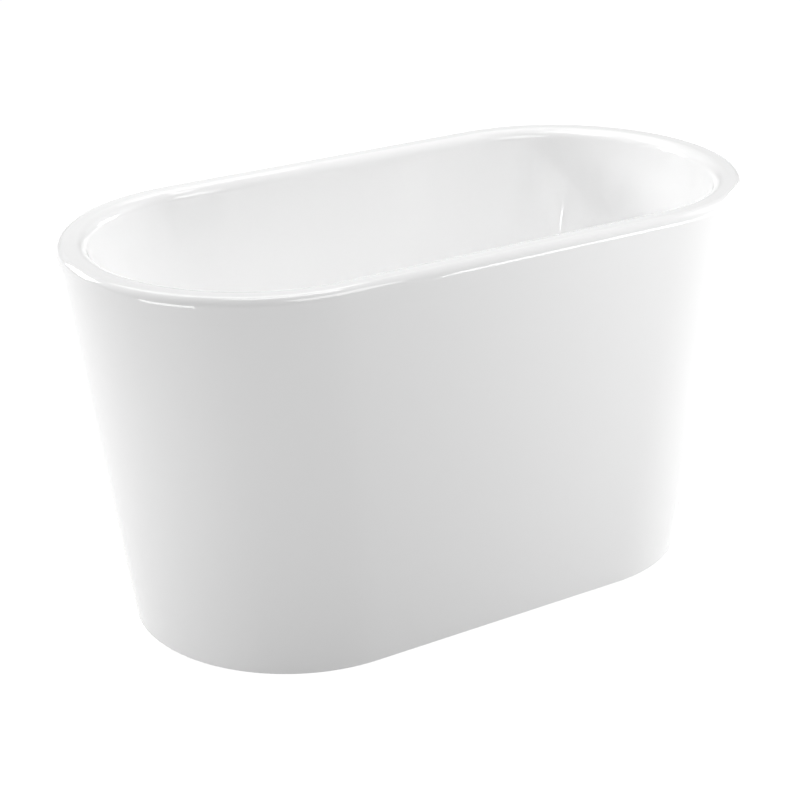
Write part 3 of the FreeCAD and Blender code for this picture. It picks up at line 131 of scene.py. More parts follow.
# The powers were fitted so that the wall and the inside have the tones of a white bath in a pale studio.
soft_box("front_right_soft_box", (1.1, -1.5, 0.35), (0.4, -0.2, 0.25), 0.8, 0.5, 9.3)
soft_box("low_right_soft_box", (1.6, -1.2, 0.3), (0.2, -0.2, 0.2), 1.2, 0.5, 5.3)
soft_box("right_soft_box", (2.4, 0.3, 1.3), (0, 0, 0.5), 1.2, 0.6, 21)
soft_box("high_right_soft_box", (2.2, -0.5, 1.9), (0, 0, 0.5), 1.2, 1.2, 5)
soft_box("high_front_soft_box", (0.3, -2.0, 2.2), (0, 0, 0.4), 1.6, 1.0, 23.5)
soft_box("high_back_soft_box", (0, 1.1, 2.4), (0, 0, 0.4), 2.0, 0.8, 13.5)
soft_box("overhead_soft_box", (0, 0, 2.2), (0, 0, 0.4), 1.0, 0.5, 8.5)
soft_box("back_left_soft_box", (-1.5, 1.9, 1.6), (0, 0, 0.5), 1.2, 0.8, 36.5)
soft_box("near_left_soft_box", (-1.7, -0.4, 0.3), (-0.5, 0, 0.2), 0.8, 0.5, 8.8)

# The camera: its place in metres, its small roll about the way it looks, and that way.
CAMERA_PLACE, CAMERA_ROLL = (-1.7797, -2.7151, 1.6702), radians(-0.239)
CAMERA_GAZE = Vector((0.49944, 0.77428, -0.38865))
FOCAL_LENGTH, SENSOR_WIDTH = 94.63, 36
lens = bpy.data.cameras.new("camera")
lens.lens, lens.sensor_width = FOCAL_LENGTH, SENSOR_WIDTH
camera = bpy.data.objects.new("camera", lens)
facing = CAMERA_GAZE.to_track_quat("-Z", "Y").to_matrix().to_4x4()
camera.matrix_world = Matrix.Translation(CAMERA_PLACE) @ facing @ Matrix.Rotation(CAMERA_ROLL, 4, "Z")
bpy.context.scene.collection.objects.link(camera)
bpy.context.scene.camera = camera
bpy.context.scene.view_settings.view_transform = "Standard"

# The basin: one acrylic sheet drawn hot into a mould, so its wall is the same all over. The rim is
# rolled out and down, the floor runs up into the walls, and the waste sits in a round recess.
# Its sizes are in millimetres, over the floor of the room and out from the bath's middle.
LENGTH, WIDTH, HEIGHT = 1200, 600, 650
BASE_LENGTH, BASE_WIDTH = 1004, 522
RIM_BAND, RIM_ROUND, RIM_INNER_ROUND, LIP_END = 45, 14, 20, 610
WALL, FLOOR_TOP, FLOOR_ROUND = 5, 140, 70
RECESS, SEAT, WASTE_HOLE = 50, 136, 26
END_LEAN, SIDE_LEAN = radians(14.6), radians(6.9)
END_SLOPE, SIDE_SLOPE = tan(END_LEAN), tan(SIDE_LEAN)
OVERFLOW_UP, OVERFLOW_HOLE = 555, 22


def wall_lean(overall, base):
    """How far the outer wall leans out for each millimetre up, so that it touches the rim's round from below:
    the tangent of two angles together, the one to the round's centre and the one that the round takes up."""
    run, rise = overall / 2 - RIM_ROUND - base / 2, HEIGHT - RIM_ROUND
    return tan(atan(run / rise) + asin(RIM_ROUND / sqrt(run ** 2 + rise ** 2)))


# A level ring is followed round its two half circles and two straight sides. Each column has the
# direction in which its half circle looks, and the place of that circle's centre along the bath.
ROUND_COLUMNS, SIDE_COLUMNS = 81, 41
bend, straight = np.linspace(-pi / 2, pi / 2, ROUND_COLUMNS), np.linspace(1, -1, SIDE_COLUMNS)
LOOKS = np.concatenate([
    bend, np.full(SIDE_COLUMNS - 2, pi / 2), bend + pi, np.full(SIDE_COLUMNS - 1, 3 * pi / 2)])
ALONG = np.concatenate([
    np.full(ROUND_COLUMNS, 1.0), straight[1:-1], np.full(ROUND_COLUMNS, -1.0), -straight[1:]])
OUTWARDS = np.stack([np.cos(LOOKS), np.sin(LOOKS)], -1)
UP, DOWN = 90, -90


def ring(half_length, half_width, height):
    """A ring's points: the circle's centre is the half length less the half width along the bath, and the
    point is one half width from it."""
    across, away = half_width * np.cos(LOOKS), half_width * np.sin(LOOKS)
    return np.stack(np.broadcast_arrays(ALONG * (half_length - half_width) + across, away, height), -1)


def outer_wall(inset=0):
    """The outer wall, drawn in by an inset square to it: half its length and half its width at height 0, and
    how much each of them grows with height."""
    ends, sides = wall_lean(LENGTH, BASE_LENGTH), wall_lean(WIDTH, BASE_WIDTH)
    half_length = BASE_LENGTH / 2 - inset * sqrt(1 + ends ** 2)
    half_width = BASE_WIDTH / 2 - inset * sqrt(1 + sides ** 2)
    return half_length, half_width, ends, sides


def basin_wall(outset=0):
    """The basin's inner wall, let out by an outset square to it, in the same form."""
    half_length = LENGTH / 2 - RIM_BAND - HEIGHT * END_SLOPE + outset * sqrt(1 + END_SLOPE ** 2)
    half_width = WIDTH / 2 - RIM_BAND - HEIGHT * SIDE_SLOPE + outset * sqrt(1 + SIDE_SLOPE ** 2)
    return half_length, half_width, END_SLOPE, SIDE_SLOPE


def slope(wall):
    """How far the wall leans at each column: the side's lean, and at the ends the end's, blended by the
    cosine of the direction."""
    _, _, ends, sides = wall
    return (ends - sides) * ALONG * np.cos(LOOKS) + sides


def wall_rings(wall, height):
    """Rings of the wall at the given heights."""
    half_length, half_width, ends, sides = wall
    return ring(half_length + ends * height, half_width + sides * height, height)


def touch_height(wall, centre, radius):
    """The height at which a round touches the wall: its centre's height, less the radius times the sine of
    the wall's lean."""
    return centre - radius * slope(wall) / np.sqrt(1 + slope(wall) ** 2)


def round_rings(wall, centre, radius, end, steps):
    """A round between the wall and a level face: its centre is one radius square to the wall from where they
    touch, and its points turn about that centre from the wall's own direction to straight up or down. A
    radius below zero puts the centre outside the wall."""
    lean = slope(wall)
    touch = wall_rings(wall, touch_height(wall, centre, radius))
    middle = touch[:, :2] - radius * OUTWARDS / np.sqrt(1 + lean ** 2)[:, None]
    angle = -np.arctan(lean) + np.linspace(0, 1, steps + 1)[:, None] * (radians(end) + np.arctan(lean))
    level = middle + radius * np.cos(angle)[..., None] * OUTWARDS
    return np.concatenate([level, (centre + radius * np.sin(angle))[..., None]], -1)


def between(first, last, shares):
    """Rings at the given shares of the way from one ring to another."""
    return first + (last - first) * np.array(shares)[:, None, None]


def circle_rings(like, outline):
    """Level circles of each radius and height, with their points in the same directions as another ring's."""
    around, outline = np.arctan2(like[:, 1], like[:, 0]), np.array(outline, float)
    radius, height = outline[:, :1], outline[:, 1:]
    return np.stack(np.broadcast_arrays(radius * np.cos(around), radius * np.sin(around), height), -1)


SAME_PLACE = 2e-6  # in metres


def piece(name, grids, finish, stands_for, body="bath", crease=32, holes=()):
    """Makes one piece from closed grids of points (rows, columns, place) in millimetres. Where the sum of a
    grid's triple products, its signed volume, is below zero, it is turned inside out. Points that fall
    together are joined, which closes its seams and poles. A hole is one more closed grid, which is cut out,
    and edges that turn by more than the crease, in degrees, stay sharp."""
    def mesh_of(label, grids):
        points, faces, count = [], [], 0
        for grid in grids:
            a, b, c, d = grid[:-1, :-1], grid[1:, :-1], grid[1:, 1:], grid[:-1, 1:]
            if np.einsum("...i,...i", a, np.cross(b, c) + np.cross(c, d)).sum() < 0:
                grid = grid[:, ::-1]
            number = count + np.arange(grid[..., 0].size).reshape(grid.shape[:2])
            quads = number[:-1, :-1], number[1:, :-1], number[1:, 1:], number[:-1, 1:]
            faces.append(np.stack(quads, -1).reshape(-1, 4))
            points.append(grid.reshape(-1, 3) / 1000)
            count += grid[..., 0].size
        mesh = bpy.data.meshes.new(label)
        mesh.from_pydata(np.concatenate(points).tolist(), [], np.concatenate(faces).tolist())
        joined = bmesh.new()
        joined.from_mesh(mesh)
        bmesh.ops.remove_doubles(joined, verts=joined.verts, dist=SAME_PLACE)
        joined.to_mesh(mesh)
        joined.free()
        return mesh

    made = bpy.data.objects.new(name, mesh_of(name, grids))
    bpy.context.scene.collection.objects.link(made)
    for number, hole in enumerate(holes):
        cutter = bpy.data.objects.new(f"{name}_hole_{number}", mesh_of("hole", [hole]))
        bpy.context.scene.collection.objects.link(cutter)
        cut = made.modifiers.new("hole", "BOOLEAN")
        cut.object, cut.operation, cut.solver = cutter, "DIFFERENCE", "EXACT"
        bpy.context.view_layer.update()
        made.data = bpy.data.meshes.new_from_object(made.evaluated_get(bpy.context.evaluated_depsgraph_get()))
        made.modifiers.clear()
        bpy.data.objects.remove(cutter)
    made.data.polygons.foreach_set("use_smooth", np.ones(len(made.data.polygons), bool))
    made.data.set_sharp_from_angle(angle=radians(crease))
    made.data.materials.clear()
    made.data.materials.append(finish)
    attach(made, body)
    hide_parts(*stands_for)
    return made


def turned(outline, columns=64):
    """An outline of radius and height, turned about the upright axis: the radius times the cosine and sine
    of each direction."""
    outline, turn = np.array(outline, float), np.linspace(0, 2 * pi, columns + 1)
    radius, height = outline[:, :1], outline[:, 1:2]
    return np.stack(np.broadcast_arrays(radius * np.cos(turn), radius * np.sin(turn), height), -1)


def seated(grid, place, upright=(0, 0, 1)):
    """Moves a grid so that its own origin is at a place and its own height runs along a direction in the YZ
    plane, by turning it about X."""
    up = np.array(upright, float)
    down = np.array([0, up[2], -up[1]])
    return grid @ np.array([[1, 0, 0], down, up]) + np.array(place, float)


# Polished cast acrylic: white clear through, with a gloss that mirrors the room sharply. Forming leaves
# slow waves about 120 mm long and a few hundredths of a millimetre high, and wiping leaves faint haze.
acrylic, tree = blank_material("polished cast acrylic")
place = add(tree, "TexCoord").outputs["Object"]
waves = add(tree, "TexNoise", {"Vector": place, "Scale": 1000 / 120, "Detail": 1})
haze = add(tree, "TexNoise", {"Vector": place, "Scale": 1000 / 35, "Detail": 4})
shine = add(tree, "MapRange", {
    "Value": haze, "From Min": 0.35, "From Max": 0.7, "To Min": 0.015, "To Max": 0.035})
relief = add(tree, "Bump", {"Height": waves, "Strength": 1, "Distance": 0.00015})
shader = add(tree, "BsdfPrincipled", {
    "Base Color": linear("#FAFAFA"), "IOR": 1.49, "Roughness": shine, "Normal": relief})
add(tree, "OutputMaterial", {"Surface": shader})

outside, inside = outer_wall(), basin_wall()
outside_behind, inside_behind = outer_wall(WALL), basin_wall(WALL)
lip_end = wall_rings(outside, LIP_END)
top_round = round_rings(outside, HEIGHT - RIM_ROUND, RIM_ROUND, UP, 20)
inner_round = round_rings(inside, HEIGHT - RIM_INNER_ROUND, -RIM_INNER_ROUND, DOWN, 16)[::-1]
floor_round = round_rings(inside, FLOOR_TOP + FLOOR_ROUND, FLOOR_ROUND, DOWN, 20)
floor_edge = floor_round[-1]
recess = circle_rings(floor_edge, [
    (RECESS + 0.6, FLOOR_TOP), (RECESS, FLOOR_TOP - 0.6), (RECESS, SEAT + 3), (RECESS - 0.4, SEAT + 1.5),
    (RECESS - 1.5, SEAT + 0.4), (RECESS - 3, SEAT), (WASTE_HOLE + 0.5, SEAT), (WASTE_HOLE, SEAT - 0.5),
    (WASTE_HOLE, SEAT - WALL), (RECESS + WALL, SEAT - WALL), (RECESS + WALL, FLOOR_TOP - WALL)])
under_floor_round = round_rings(
    inside_behind, FLOOR_TOP + FLOOR_ROUND, FLOOR_ROUND + WALL, DOWN, 12)[::-1]
under_inner_round = round_rings(
    inside_behind, HEIGHT - RIM_INNER_ROUND, WALL - RIM_INNER_ROUND, DOWN, 8)
under_top_round = round_rings(outside_behind, HEIGHT - RIM_ROUND, RIM_ROUND - WALL, UP, 8)[::-1]
basin_grid = np.concatenate([
    between(lip_end, top_round[0], [0, 0.05, 0.5, 0.9]),
    top_round,
    between(top_round[-1], inner_round[0], [0.1, 0.9]),
    inner_round,
    between(inner_round[-1], floor_round[0], [0.004, *np.linspace(0.04, 0.96, 24), 0.996]),
    floor_round,
    between(floor_edge, recess[0], [0.02, *np.linspace(0.12, 0.99, 8)]),
    recess,
    between(recess[-1], under_floor_round[0], [0.3, 0.6, 0.9]),
    under_floor_round,
    between(under_floor_round[-1], under_inner_round[0], np.linspace(0.03, 0.97, 12)),
    under_inner_round,
    under_top_round,
    between(under_top_round[-1], wall_rings(outside_behind, LIP_END), [0.5, 1]),
    lip_end[None],
])

# The overflow's hole is drilled square to the front wall, by a rod that passes through it.
OVERFLOW_FACE = -(WIDTH / 2 - RIM_BAND - (HEIGHT - OVERFLOW_UP) * SIDE_SLOPE)
INWARD = (0, cos(SIDE_LEAN), sin(SIDE_LEAN))
ROD_BACK, ROD_FRONT = -20, 15
hole_rod = turned([(0, ROD_BACK), (OVERFLOW_HOLE, ROD_BACK), (OVERFLOW_HOLE, ROD_FRONT), (0, ROD_FRONT)], 48)
piece("basin", [basin_grid], acrylic, ["inner_basin"],
      holes=[seated(hole_rod, (0, OVERFLOW_FACE, OVERFLOW_UP), INWARD)])


# The skirt: a second acrylic sheet formed to the outer wall, open below and ending 3 mm over the floor.
# Its top steps in by one wall and is bonded inside the basin's lip, so that the two are flush.
def levels(*heights):
    """Heights for as many rings, in a column."""
    return np.array(heights, float)[:, None]


SKIRT_FOOT, SKIRT_EDGE = 3, 0.4
STEP, STEP_FOOT, STEP_TOP, STEP_GAP, STEP_WALL = 609, 585, 622, 0.3, 4
step_outside, step_inside = outer_wall(WALL + STEP_GAP), outer_wall(WALL + STEP_GAP + STEP_WALL)
skirt_grid = np.concatenate([
    wall_rings(outside, levels(SKIRT_FOOT + SKIRT_EDGE, 5, *np.linspace(25, 590, 22), 607, STEP)),
    wall_rings(step_outside, levels(STEP, STEP_TOP - SKIRT_EDGE, STEP_TOP)),
    wall_rings(step_inside, levels(STEP_TOP, STEP_TOP - SKIRT_EDGE, 590, STEP_FOOT)),
    wall_rings(outside_behind, levels(STEP_FOOT, 583, *np.linspace(560, 25, 16), 5)),
    wall_rings(outside_behind, levels(SKIRT_FOOT + SKIRT_EDGE, SKIRT_FOOT)),
    wall_rings(outer_wall(SKIRT_EDGE), levels(SKIRT_FOOT)),
    wall_rings(outside, levels(SKIRT_FOOT + SKIRT_EDGE)),
])
piece("skirt", [skirt_grid], acrylic, ["outer_skirt"])

# The joint between lip and skirt: acrylic cement, filled to the brim, cut back and polished flush. It
# shows as a hairline, a touch duller than the sheet on each side.
cement, tree = blank_material("polished acrylic cement")
place = add(tree, "TexCoord").outputs["Object"]
pits = add(tree, "TexNoise", {"Vector": place, "Scale": 1000 / 2, "Detail": 2})
shine = add(tree, "MapRange", {"Value": pits, "To Min": 0.02, "To Max": 0.07})
relief = add(tree, "Bump", {"Height": pits, "Strength": 0.3, "Distance": 0.00002})
shader = add(tree, "BsdfPrincipled", {
    "Base Color": linear("#F9F9F9"), "IOR": 1.49, "Roughness": shine, "Normal": relief})
add(tree, "OutputMaterial", {"Surface": shader})
bead_heights = STEP + (LIP_END - STEP) * levels(0, 0.05, 0.5, 0.95, 1)
bead_grid = np.concatenate([
    wall_rings(outside, bead_heights),
    wall_rings(outside_behind, bead_heights[::-1]),
    wall_rings(outside, bead_heights[:1]),
])
piece("seam_bead", [bead_grid], cement, ["rim_seam_bead"])

# The stiffening layer: chopped glass strands wetted with polyester resin and rolled by hand onto the back
# of the basin, up to below the overflow. Its face is uneven and its top edge is only roughly trimmed.
fibre, tree = blank_material("hand-rolled glass fibre and polyester")
place = add(tree, "TexCoord").outputs["Object"]
strands = []
for way in (15, 75, 135):  # strands 50 mm long and 1.5 mm wide lie in every direction
    laid = add(tree, "Mapping", {
        "Vector": place, "Rotation": (0.4, radians(way), radians(way)),
        "Scale": (1000 / 50, 1000 / 1.5, 1000 / 1.5)})
    grain = add(tree, "TexNoise", {"Vector": laid, "Scale": 1, "Detail": 1})
    strands.append(add(tree, "MapRange", {"Value": grain, "From Min": 0.58, "From Max": 0.68}))
mat = add(tree, "Math", {0: strands[0], 1: strands[1]}, operation="MAXIMUM")
mat = add(tree, "Math", {0: mat, 1: strands[2]}, operation="MAXIMUM")
wet = add(tree, "TexNoise", {"Vector": place, "Scale": 1000 / 60, "Detail": 3})
resin = add(tree, "MixRGB", {"Fac": wet, "Color1": linear("#CFCBB4"), "Color2": linear("#BDB695")})
colour = add(tree, "MixRGB", {"Fac": mat, "Color1": resin, "Color2": linear("#E4E2D6")})
shine = add(tree, "MapRange", {"Value": wet, "To Min": 0.25, "To Max": 0.5})
relief = add(tree, "Bump", {"Height": mat, "Strength": 0.6, "Distance": 0.0004})
shader = add(tree, "BsdfPrincipled", {
    "Base Color": colour, "IOR": 1.56, "Roughness": shine, "Normal": relief})
add(tree, "OutputMaterial", {"Surface": shader})

# The rolled back swells and sinks by up to 0.7 mm, and the trimmed edge wanders by 2.3 mm each way.
LAYER_FACE, LAYER_BACK, LAYER_TOP = WALL + 0.3, WALL + 3.3, 490
layer_inside, layer_outside = basin_wall(LAYER_FACE), basin_wall(LAYER_BACK)
layer_inner_round = round_rings(
    layer_inside, FLOOR_TOP + FLOOR_ROUND, FLOOR_ROUND + LAYER_FACE, DOWN, 10)
layer_outer_round = round_rings(
    layer_outside, FLOOR_TOP + FLOOR_ROUND, FLOOR_ROUND + LAYER_BACK, DOWN, 10)[::-1]
layer_hole = circle_rings(floor_edge, [
    (RECESS + LAYER_FACE, FLOOR_TOP - LAYER_FACE), (RECESS + LAYER_FACE, FLOOR_TOP - LAYER_BACK)])
column = np.arange(len(LOOKS)) * 2 * pi / (len(LOOKS) - 1)
trimmed = LAYER_TOP - 2.5 + 1.2 * np.sin(9 * column) + 1.1 * np.sin(23 * column + 1)
layer_rim_in, layer_rim_out = wall_rings(layer_inside, trimmed), wall_rings(layer_outside, trimmed - 1)
rolled = between(layer_outer_round[-1], layer_rim_out, np.linspace(0.03, 1, 36))
share = np.linspace(0, 1, 36)[:, None]
swell = np.sin(31 * column + 14 * share) + np.sin(17 * column - 25 * share)
rolled[..., :2] += (0.35 * np.sin(pi * share) * swell)[..., None] * OUTWARDS
layer_grid = np.concatenate([
    between(layer_rim_in, layer_inner_round[0], np.linspace(0, 0.97, 12)),
    layer_inner_round,
    between(layer_inner_round[-1], layer_hole[0], [0.3, 0.6, 0.9]),
    layer_hole,
    between(layer_hole[-1], layer_outer_round[0], [0.1, 0.4, 0.7]),
    layer_outer_round,
    rolled,
    layer_rim_in[None],
])
piece("stiffening_layer", [layer_grid], fibre, ["basin_laminate"])


# The base board: 15 mm chipboard cut to the floor's outline and sealed with a coat of resin, which
# leaves the chips showing under a satin skin.
def dress(finish, *nodes):
    """Gives pieces that are shown as they come from the CAD their material."""
    for name in nodes:
        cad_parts[name].material_slots[0].material = finish


chipboard, tree = blank_material("resin-sealed chipboard")
place = add(tree, "TexCoord").outputs["Object"]
flat = add(tree, "Mapping", {"Vector": place, "Scale": (1000 / 7, 1000 / 5, 1000 / 1.5)})
chips = add(tree, "TexVoronoi", {"Vector": flat, "Scale": 1, "Randomness": 1})
tint = add(tree, "SeparateColor", {"Color": chips.outputs["Color"]})
dust = add(tree, "TexNoise", {"Vector": place, "Scale": 1000 / 1.2, "Detail": 3})
wood = add(tree, "MixRGB", {"Fac": tint, "Color1": linear("#A9834F"), "Color2": linear("#D3B27C")})
colour = add(tree, "MixRGB", {"Fac": dust, "Color1": wood, "Color2": linear("#8F6B3E")})
shine = add(tree, "MapRange", {"Value": dust, "To Min": 0.35, "To Max": 0.6})
relief = add(tree, "Bump", {"Height": chips, "Strength": 0.4, "Distance": 0.0003})
shader = add(tree, "BsdfPrincipled", {"Base Color": colour, "IOR": 1.5, "Roughness": shine, "Normal": relief})
add(tree, "OutputMaterial", {"Surface": shader})
dress(chipboard, "base_board")

# The two cross bars: 25 mm square steel tube, zinc-plated after cutting. The zinc is bluish and bright,
# with faint lines along the tube from rolling and a slightly cloudy shine.
zinc_steel, tree = blank_material("zinc-plated rolled steel")
place = add(tree, "TexCoord").outputs["Object"]
cloud = add(tree, "TexNoise", {"Vector": place, "Scale": 1000 / 18, "Detail": 4})
drawn = add(tree, "Mapping", {"Vector": place, "Scale": (1000 / 0.8, 1000 / 90, 1000 / 0.8)})
lines = add(tree, "TexNoise", {"Vector": drawn, "Scale": 1, "Detail": 2})
colour = add(tree, "MixRGB", {"Fac": cloud, "Color1": linear("#AEB4BA"), "Color2": linear("#C6CACC")})
shine = add(tree, "MapRange", {
    "Value": cloud, "From Min": 0.3, "From Max": 0.7, "To Min": 0.26, "To Max": 0.42})
relief = add(tree, "Bump", {"Height": lines, "Strength": 0.25, "Distance": 0.0001})
shader = add(tree, "BsdfPrincipled", {
    "Base Color": colour, "Metallic": 1, "Roughness": shine, "Normal": relief})
add(tree, "OutputMaterial", {"Surface": shader})
dress(zinc_steel, "cross_bar_left", "cross_bar_right")

# The four skirt blocks: sawn spruce, cut to the skirt's curve and bonded inside it. Pale growth bands
# run along the bath, and the saw leaves them furry and dull. The steel angles that tie them to the bars
# are bent from the same zinc-plated strip as the bars.
corners = [f"{side}_{end}" for side in ("front", "back") for end in ("left", "right")]
spruce, tree = blank_material("sawn spruce")
place = add(tree, "TexCoord").outputs["Object"]
grown = add(tree, "Mapping", {
    "Vector": place, "Rotation": (0.5, 0, 0.06), "Scale": (1000 / 140, 1000 / 9, 1000 / 9)})
tone = add(tree, "TexNoise", {"Vector": grown, "Scale": 1, "Detail": 2, "Distortion": 0.4})
bands = add(tree, "TexWave", {
    "Vector": grown, "Scale": 0.5, "Distortion": 3, "Detail": 2, "Detail Scale": 0.6},
    wave_type="RINGS", rings_direction="X")
sawn = add(tree, "Mapping", {"Vector": place, "Scale": (1000 / 12, 1000 / 0.5, 1000 / 0.5)})
fur = add(tree, "TexNoise", {"Vector": sawn, "Scale": 1, "Detail": 2})
early = add(tree, "MixRGB", {"Fac": tone, "Color1": linear("#DDBE8C"), "Color2": linear("#CFA873")})
late = add(tree, "Math", {0: bands.outputs["Fac"], 1: 0.55}, operation="MULTIPLY")
colour = add(tree, "MixRGB", {"Fac": late, "Color1": early, "Color2": linear("#A97B48")})
relief = add(tree, "Bump", {"Height": fur, "Strength": 0.6, "Distance": 0.0004})
shader = add(tree, "BsdfPrincipled", {"Base Color": colour, "IOR": 1.5, "Roughness": 0.78, "Normal": relief})
add(tree, "OutputMaterial", {"Surface": shader})
dress(spruce, *[f"skirt_block_{corner}" for corner in corners])
dress(zinc_steel, *[f"skirt_bracket_{corner}" for corner in corners])

# The screws and bolts: steel, cold-headed and bright zinc-plated in a barrel, so the shine is even but
# scuffed by the other screws.
barrel_zinc, tree = blank_material("barrel-plated bright zinc")
place = add(tree, "TexCoord").outputs["Object"]
scuffs = add(tree, "TexNoise", {"Vector": place, "Scale": 1000 / 1.6, "Detail": 4})
colour = add(tree, "MixRGB", {"Fac": scuffs, "Color1": linear("#B9BEC2"), "Color2": linear("#D2D4D3")})
shine = add(tree, "MapRange", {
    "Value": scuffs, "From Min": 0.35, "From Max": 0.65, "To Min": 0.18, "To Max": 0.36})
relief = add(tree, "Bump", {"Height": scuffs, "Strength": 0.2, "Distance": 0.00005})
shader = add(tree, "BsdfPrincipled", {
    "Base Color": colour, "Metallic": 1, "Roughness": shine, "Normal": relief})
add(tree, "OutputMaterial", {"Surface": shader})
dress(barrel_zinc, "bar_screws", "block_screws", "bracket_bolts")


# The four screw feet: a black nylon pad that stands on the floor, and an M12 steel stem with a collar
# for a spanner. The stem screws in a nut welded under the bar, and a thinner nut locks it.
def unit(steps):
    """Steps in the plane, each divided by its length."""
    return steps / np.linalg.norm(steps, axis=-1, keepdims=True)


def rounded(outline, steps=4):
    """The closed outline through corners given as across, up and radius. A corner's arc touches both its
    sides, and its centre lies on the line that halves the corner, the radius over the sine of half its angle
    away. A point past each end of the arc keeps the sides flat."""
    outline = np.array(outline, float)[:, None]
    corner, radius = outline[..., :2], outline[..., 2:]
    back, on = unit(np.roll(corner, 1, 0) - corner), unit(np.roll(corner, -1, 0) - corner)
    half = np.arccos((back * on).sum(-1, keepdims=True)) / 2
    reach, sweep = radius / np.tan(half), pi - 2 * half
    centre = corner + unit(back + on) * radius / np.sin(half)
    share = np.linspace(0, 1, steps + 1)[:, None]
    first, last = corner + back * reach - centre, corner + on * reach - centre
    arc = centre + (np.sin((1 - share) * sweep) * first + np.sin(share * sweep) * last) / np.sin(sweep)
    before, after = corner + back * (reach + radius / 6), corner + on * (reach + radius / 6)
    points = np.concatenate([before, arc, after], 1).reshape(-1, 2)
    return np.concatenate([points, points[:1]])


def thread(radius, depth, pitch, bottom, top, columns):
    """A right-hand thread's grid: the radius falls by the depth in a V once a pitch, and the V's place moves
    up by one pitch in one turn. The V is cut flat at its crest and root, and fades out over the last
    millimetre at each end."""
    turn = np.linspace(0, 2 * pi, columns + 1)
    height = np.arange(bottom, top, pitch / 6)[:, None]
    fall = np.abs(2 * ((height / pitch - turn / (2 * pi)) % 1) - 1)
    fade = np.clip(np.minimum(height - bottom, top - height), 0, 1)
    away = radius - depth * fade * np.clip(1.3 * fall - 0.15, 0, 1)
    return np.stack(np.broadcast_arrays(away * np.cos(turn), away * np.sin(turn), height), -1)


def hexagon(radius, bottom, top, bevel, bore, edge=0.4):
    """A hexagon bar with bevelled corners and a bore: its radius at each direction is the flats' distance
    over the cosine of the angle from a flat's middle, or the bevel's cone where that is less."""
    turn = np.linspace(0, 2 * pi, 61)
    flats = radius * cos(pi / 6) / np.cos(turn % (pi / 3) - pi / 6)
    rise = np.array([0, 0.1, 0.2, 0.3, 0.4, 0.5, 0.8])[:, None] * bevel
    side = np.minimum(flats, radius - bevel + 2 * rise)
    mouth, hole = [bore + edge + 0 * turn], [bore + 0 * turn]
    away = np.concatenate([mouth, side, side[::-1], mouth, hole, hole, mouth])
    height = np.concatenate([
        [[bottom]], bottom + rise, top - rise[::-1], [[top], [top - edge], [bottom + edge], [bottom]]])
    return np.stack(np.broadcast_arrays(away * np.cos(turn), away * np.sin(turn), height), -1)


# The nylon's mould was finished with sparks, so its skin is evenly matt with a fine grain. The grain is
# drawn 0.6 mm wide, coarser than it is, so that it shows.
nylon, tree = blank_material("moulded black nylon")
place = add(tree, "TexCoord").outputs["Object"]
spark = add(tree, "TexNoise", {"Vector": place, "Scale": 1000 / 0.6, "Detail": 2})
shine = add(tree, "MapRange", {"Value": spark, "To Min": 0.38, "To Max": 0.6})
colour = add(tree, "MixRGB", {"Fac": spark, "Color1": linear("#17181A"), "Color2": linear("#232427")})
relief = add(tree, "Bump", {"Height": spark, "Strength": 0.4, "Distance": 0.00008})
shader = add(tree, "BsdfPrincipled", {
    "Base Color": colour, "IOR": 1.53, "Roughness": shine, "Normal": relief})
add(tree, "OutputMaterial", {"Surface": shader})

STEM_RADIUS, STEM_FOOT, THREAD_FOOT, STEM_TOP, STEM_COLUMNS = 5.9, 4.3, 21.5, 111, 28
FOOT_ALONG, FOOT_ACROSS = 272, 182
pad_outline = rounded([
    (0, 0, 0), (25, 0, 1.2), (25, 5, 1), (12, 14, 1.2), (6, 14, 0.4), (6, 4, 0.2), (0, 4, 0)])
stem_grid = np.concatenate([
    turned([(0, STEM_FOOT), (5.2, STEM_FOOT), (5.7, 4.5), (STEM_RADIUS, 5), (STEM_RADIUS, THREAD_FOOT - 0.1)],
           STEM_COLUMNS),
    thread(STEM_RADIUS, depth=0.95, pitch=1.75, bottom=THREAD_FOOT, top=STEM_TOP - 1, columns=STEM_COLUMNS),
    turned([(4.9, STEM_TOP), (0, STEM_TOP), (0, STEM_FOOT)], STEM_COLUMNS),
])
collar = hexagon(radius=9, bottom=14.3, top=20.3, bevel=1.2, bore=0)
NUT = {"radius": 10.97, "bevel": 1.2, "bore": 6}
bar_nut, lock_nut = hexagon(bottom=81.7, top=91.7, **NUT), hexagon(bottom=73.7, top=81.7, **NUT)
bar_nuts, lock_nuts = [], []
for corner in corners:
    along = FOOT_ALONG if "right" in corner else -FOOT_ALONG
    across = FOOT_ACROSS if "back" in corner else -FOOT_ACROSS
    foot = (along, across, 0)
    piece(f"pad_{corner}", [seated(turned(pad_outline), foot)], nylon,
          [f"foot_pad_{corner}"], f"foot_{corner}")
    piece(f"stem_{corner}", [seated(stem_grid, foot), seated(collar, foot)], barrel_zinc,
          [f"foot_stem_{corner}"], f"stem_{corner}", crease=50)
    bar_nuts.append(seated(bar_nut, foot))
    lock_nuts.append(seated(lock_nut, foot))
piece("bar_nuts", bar_nuts, barrel_zinc, ["leg_bar_nuts"])
piece("lock_nuts", lock_nuts, barrel_zinc, ["leg_lock_nuts"])

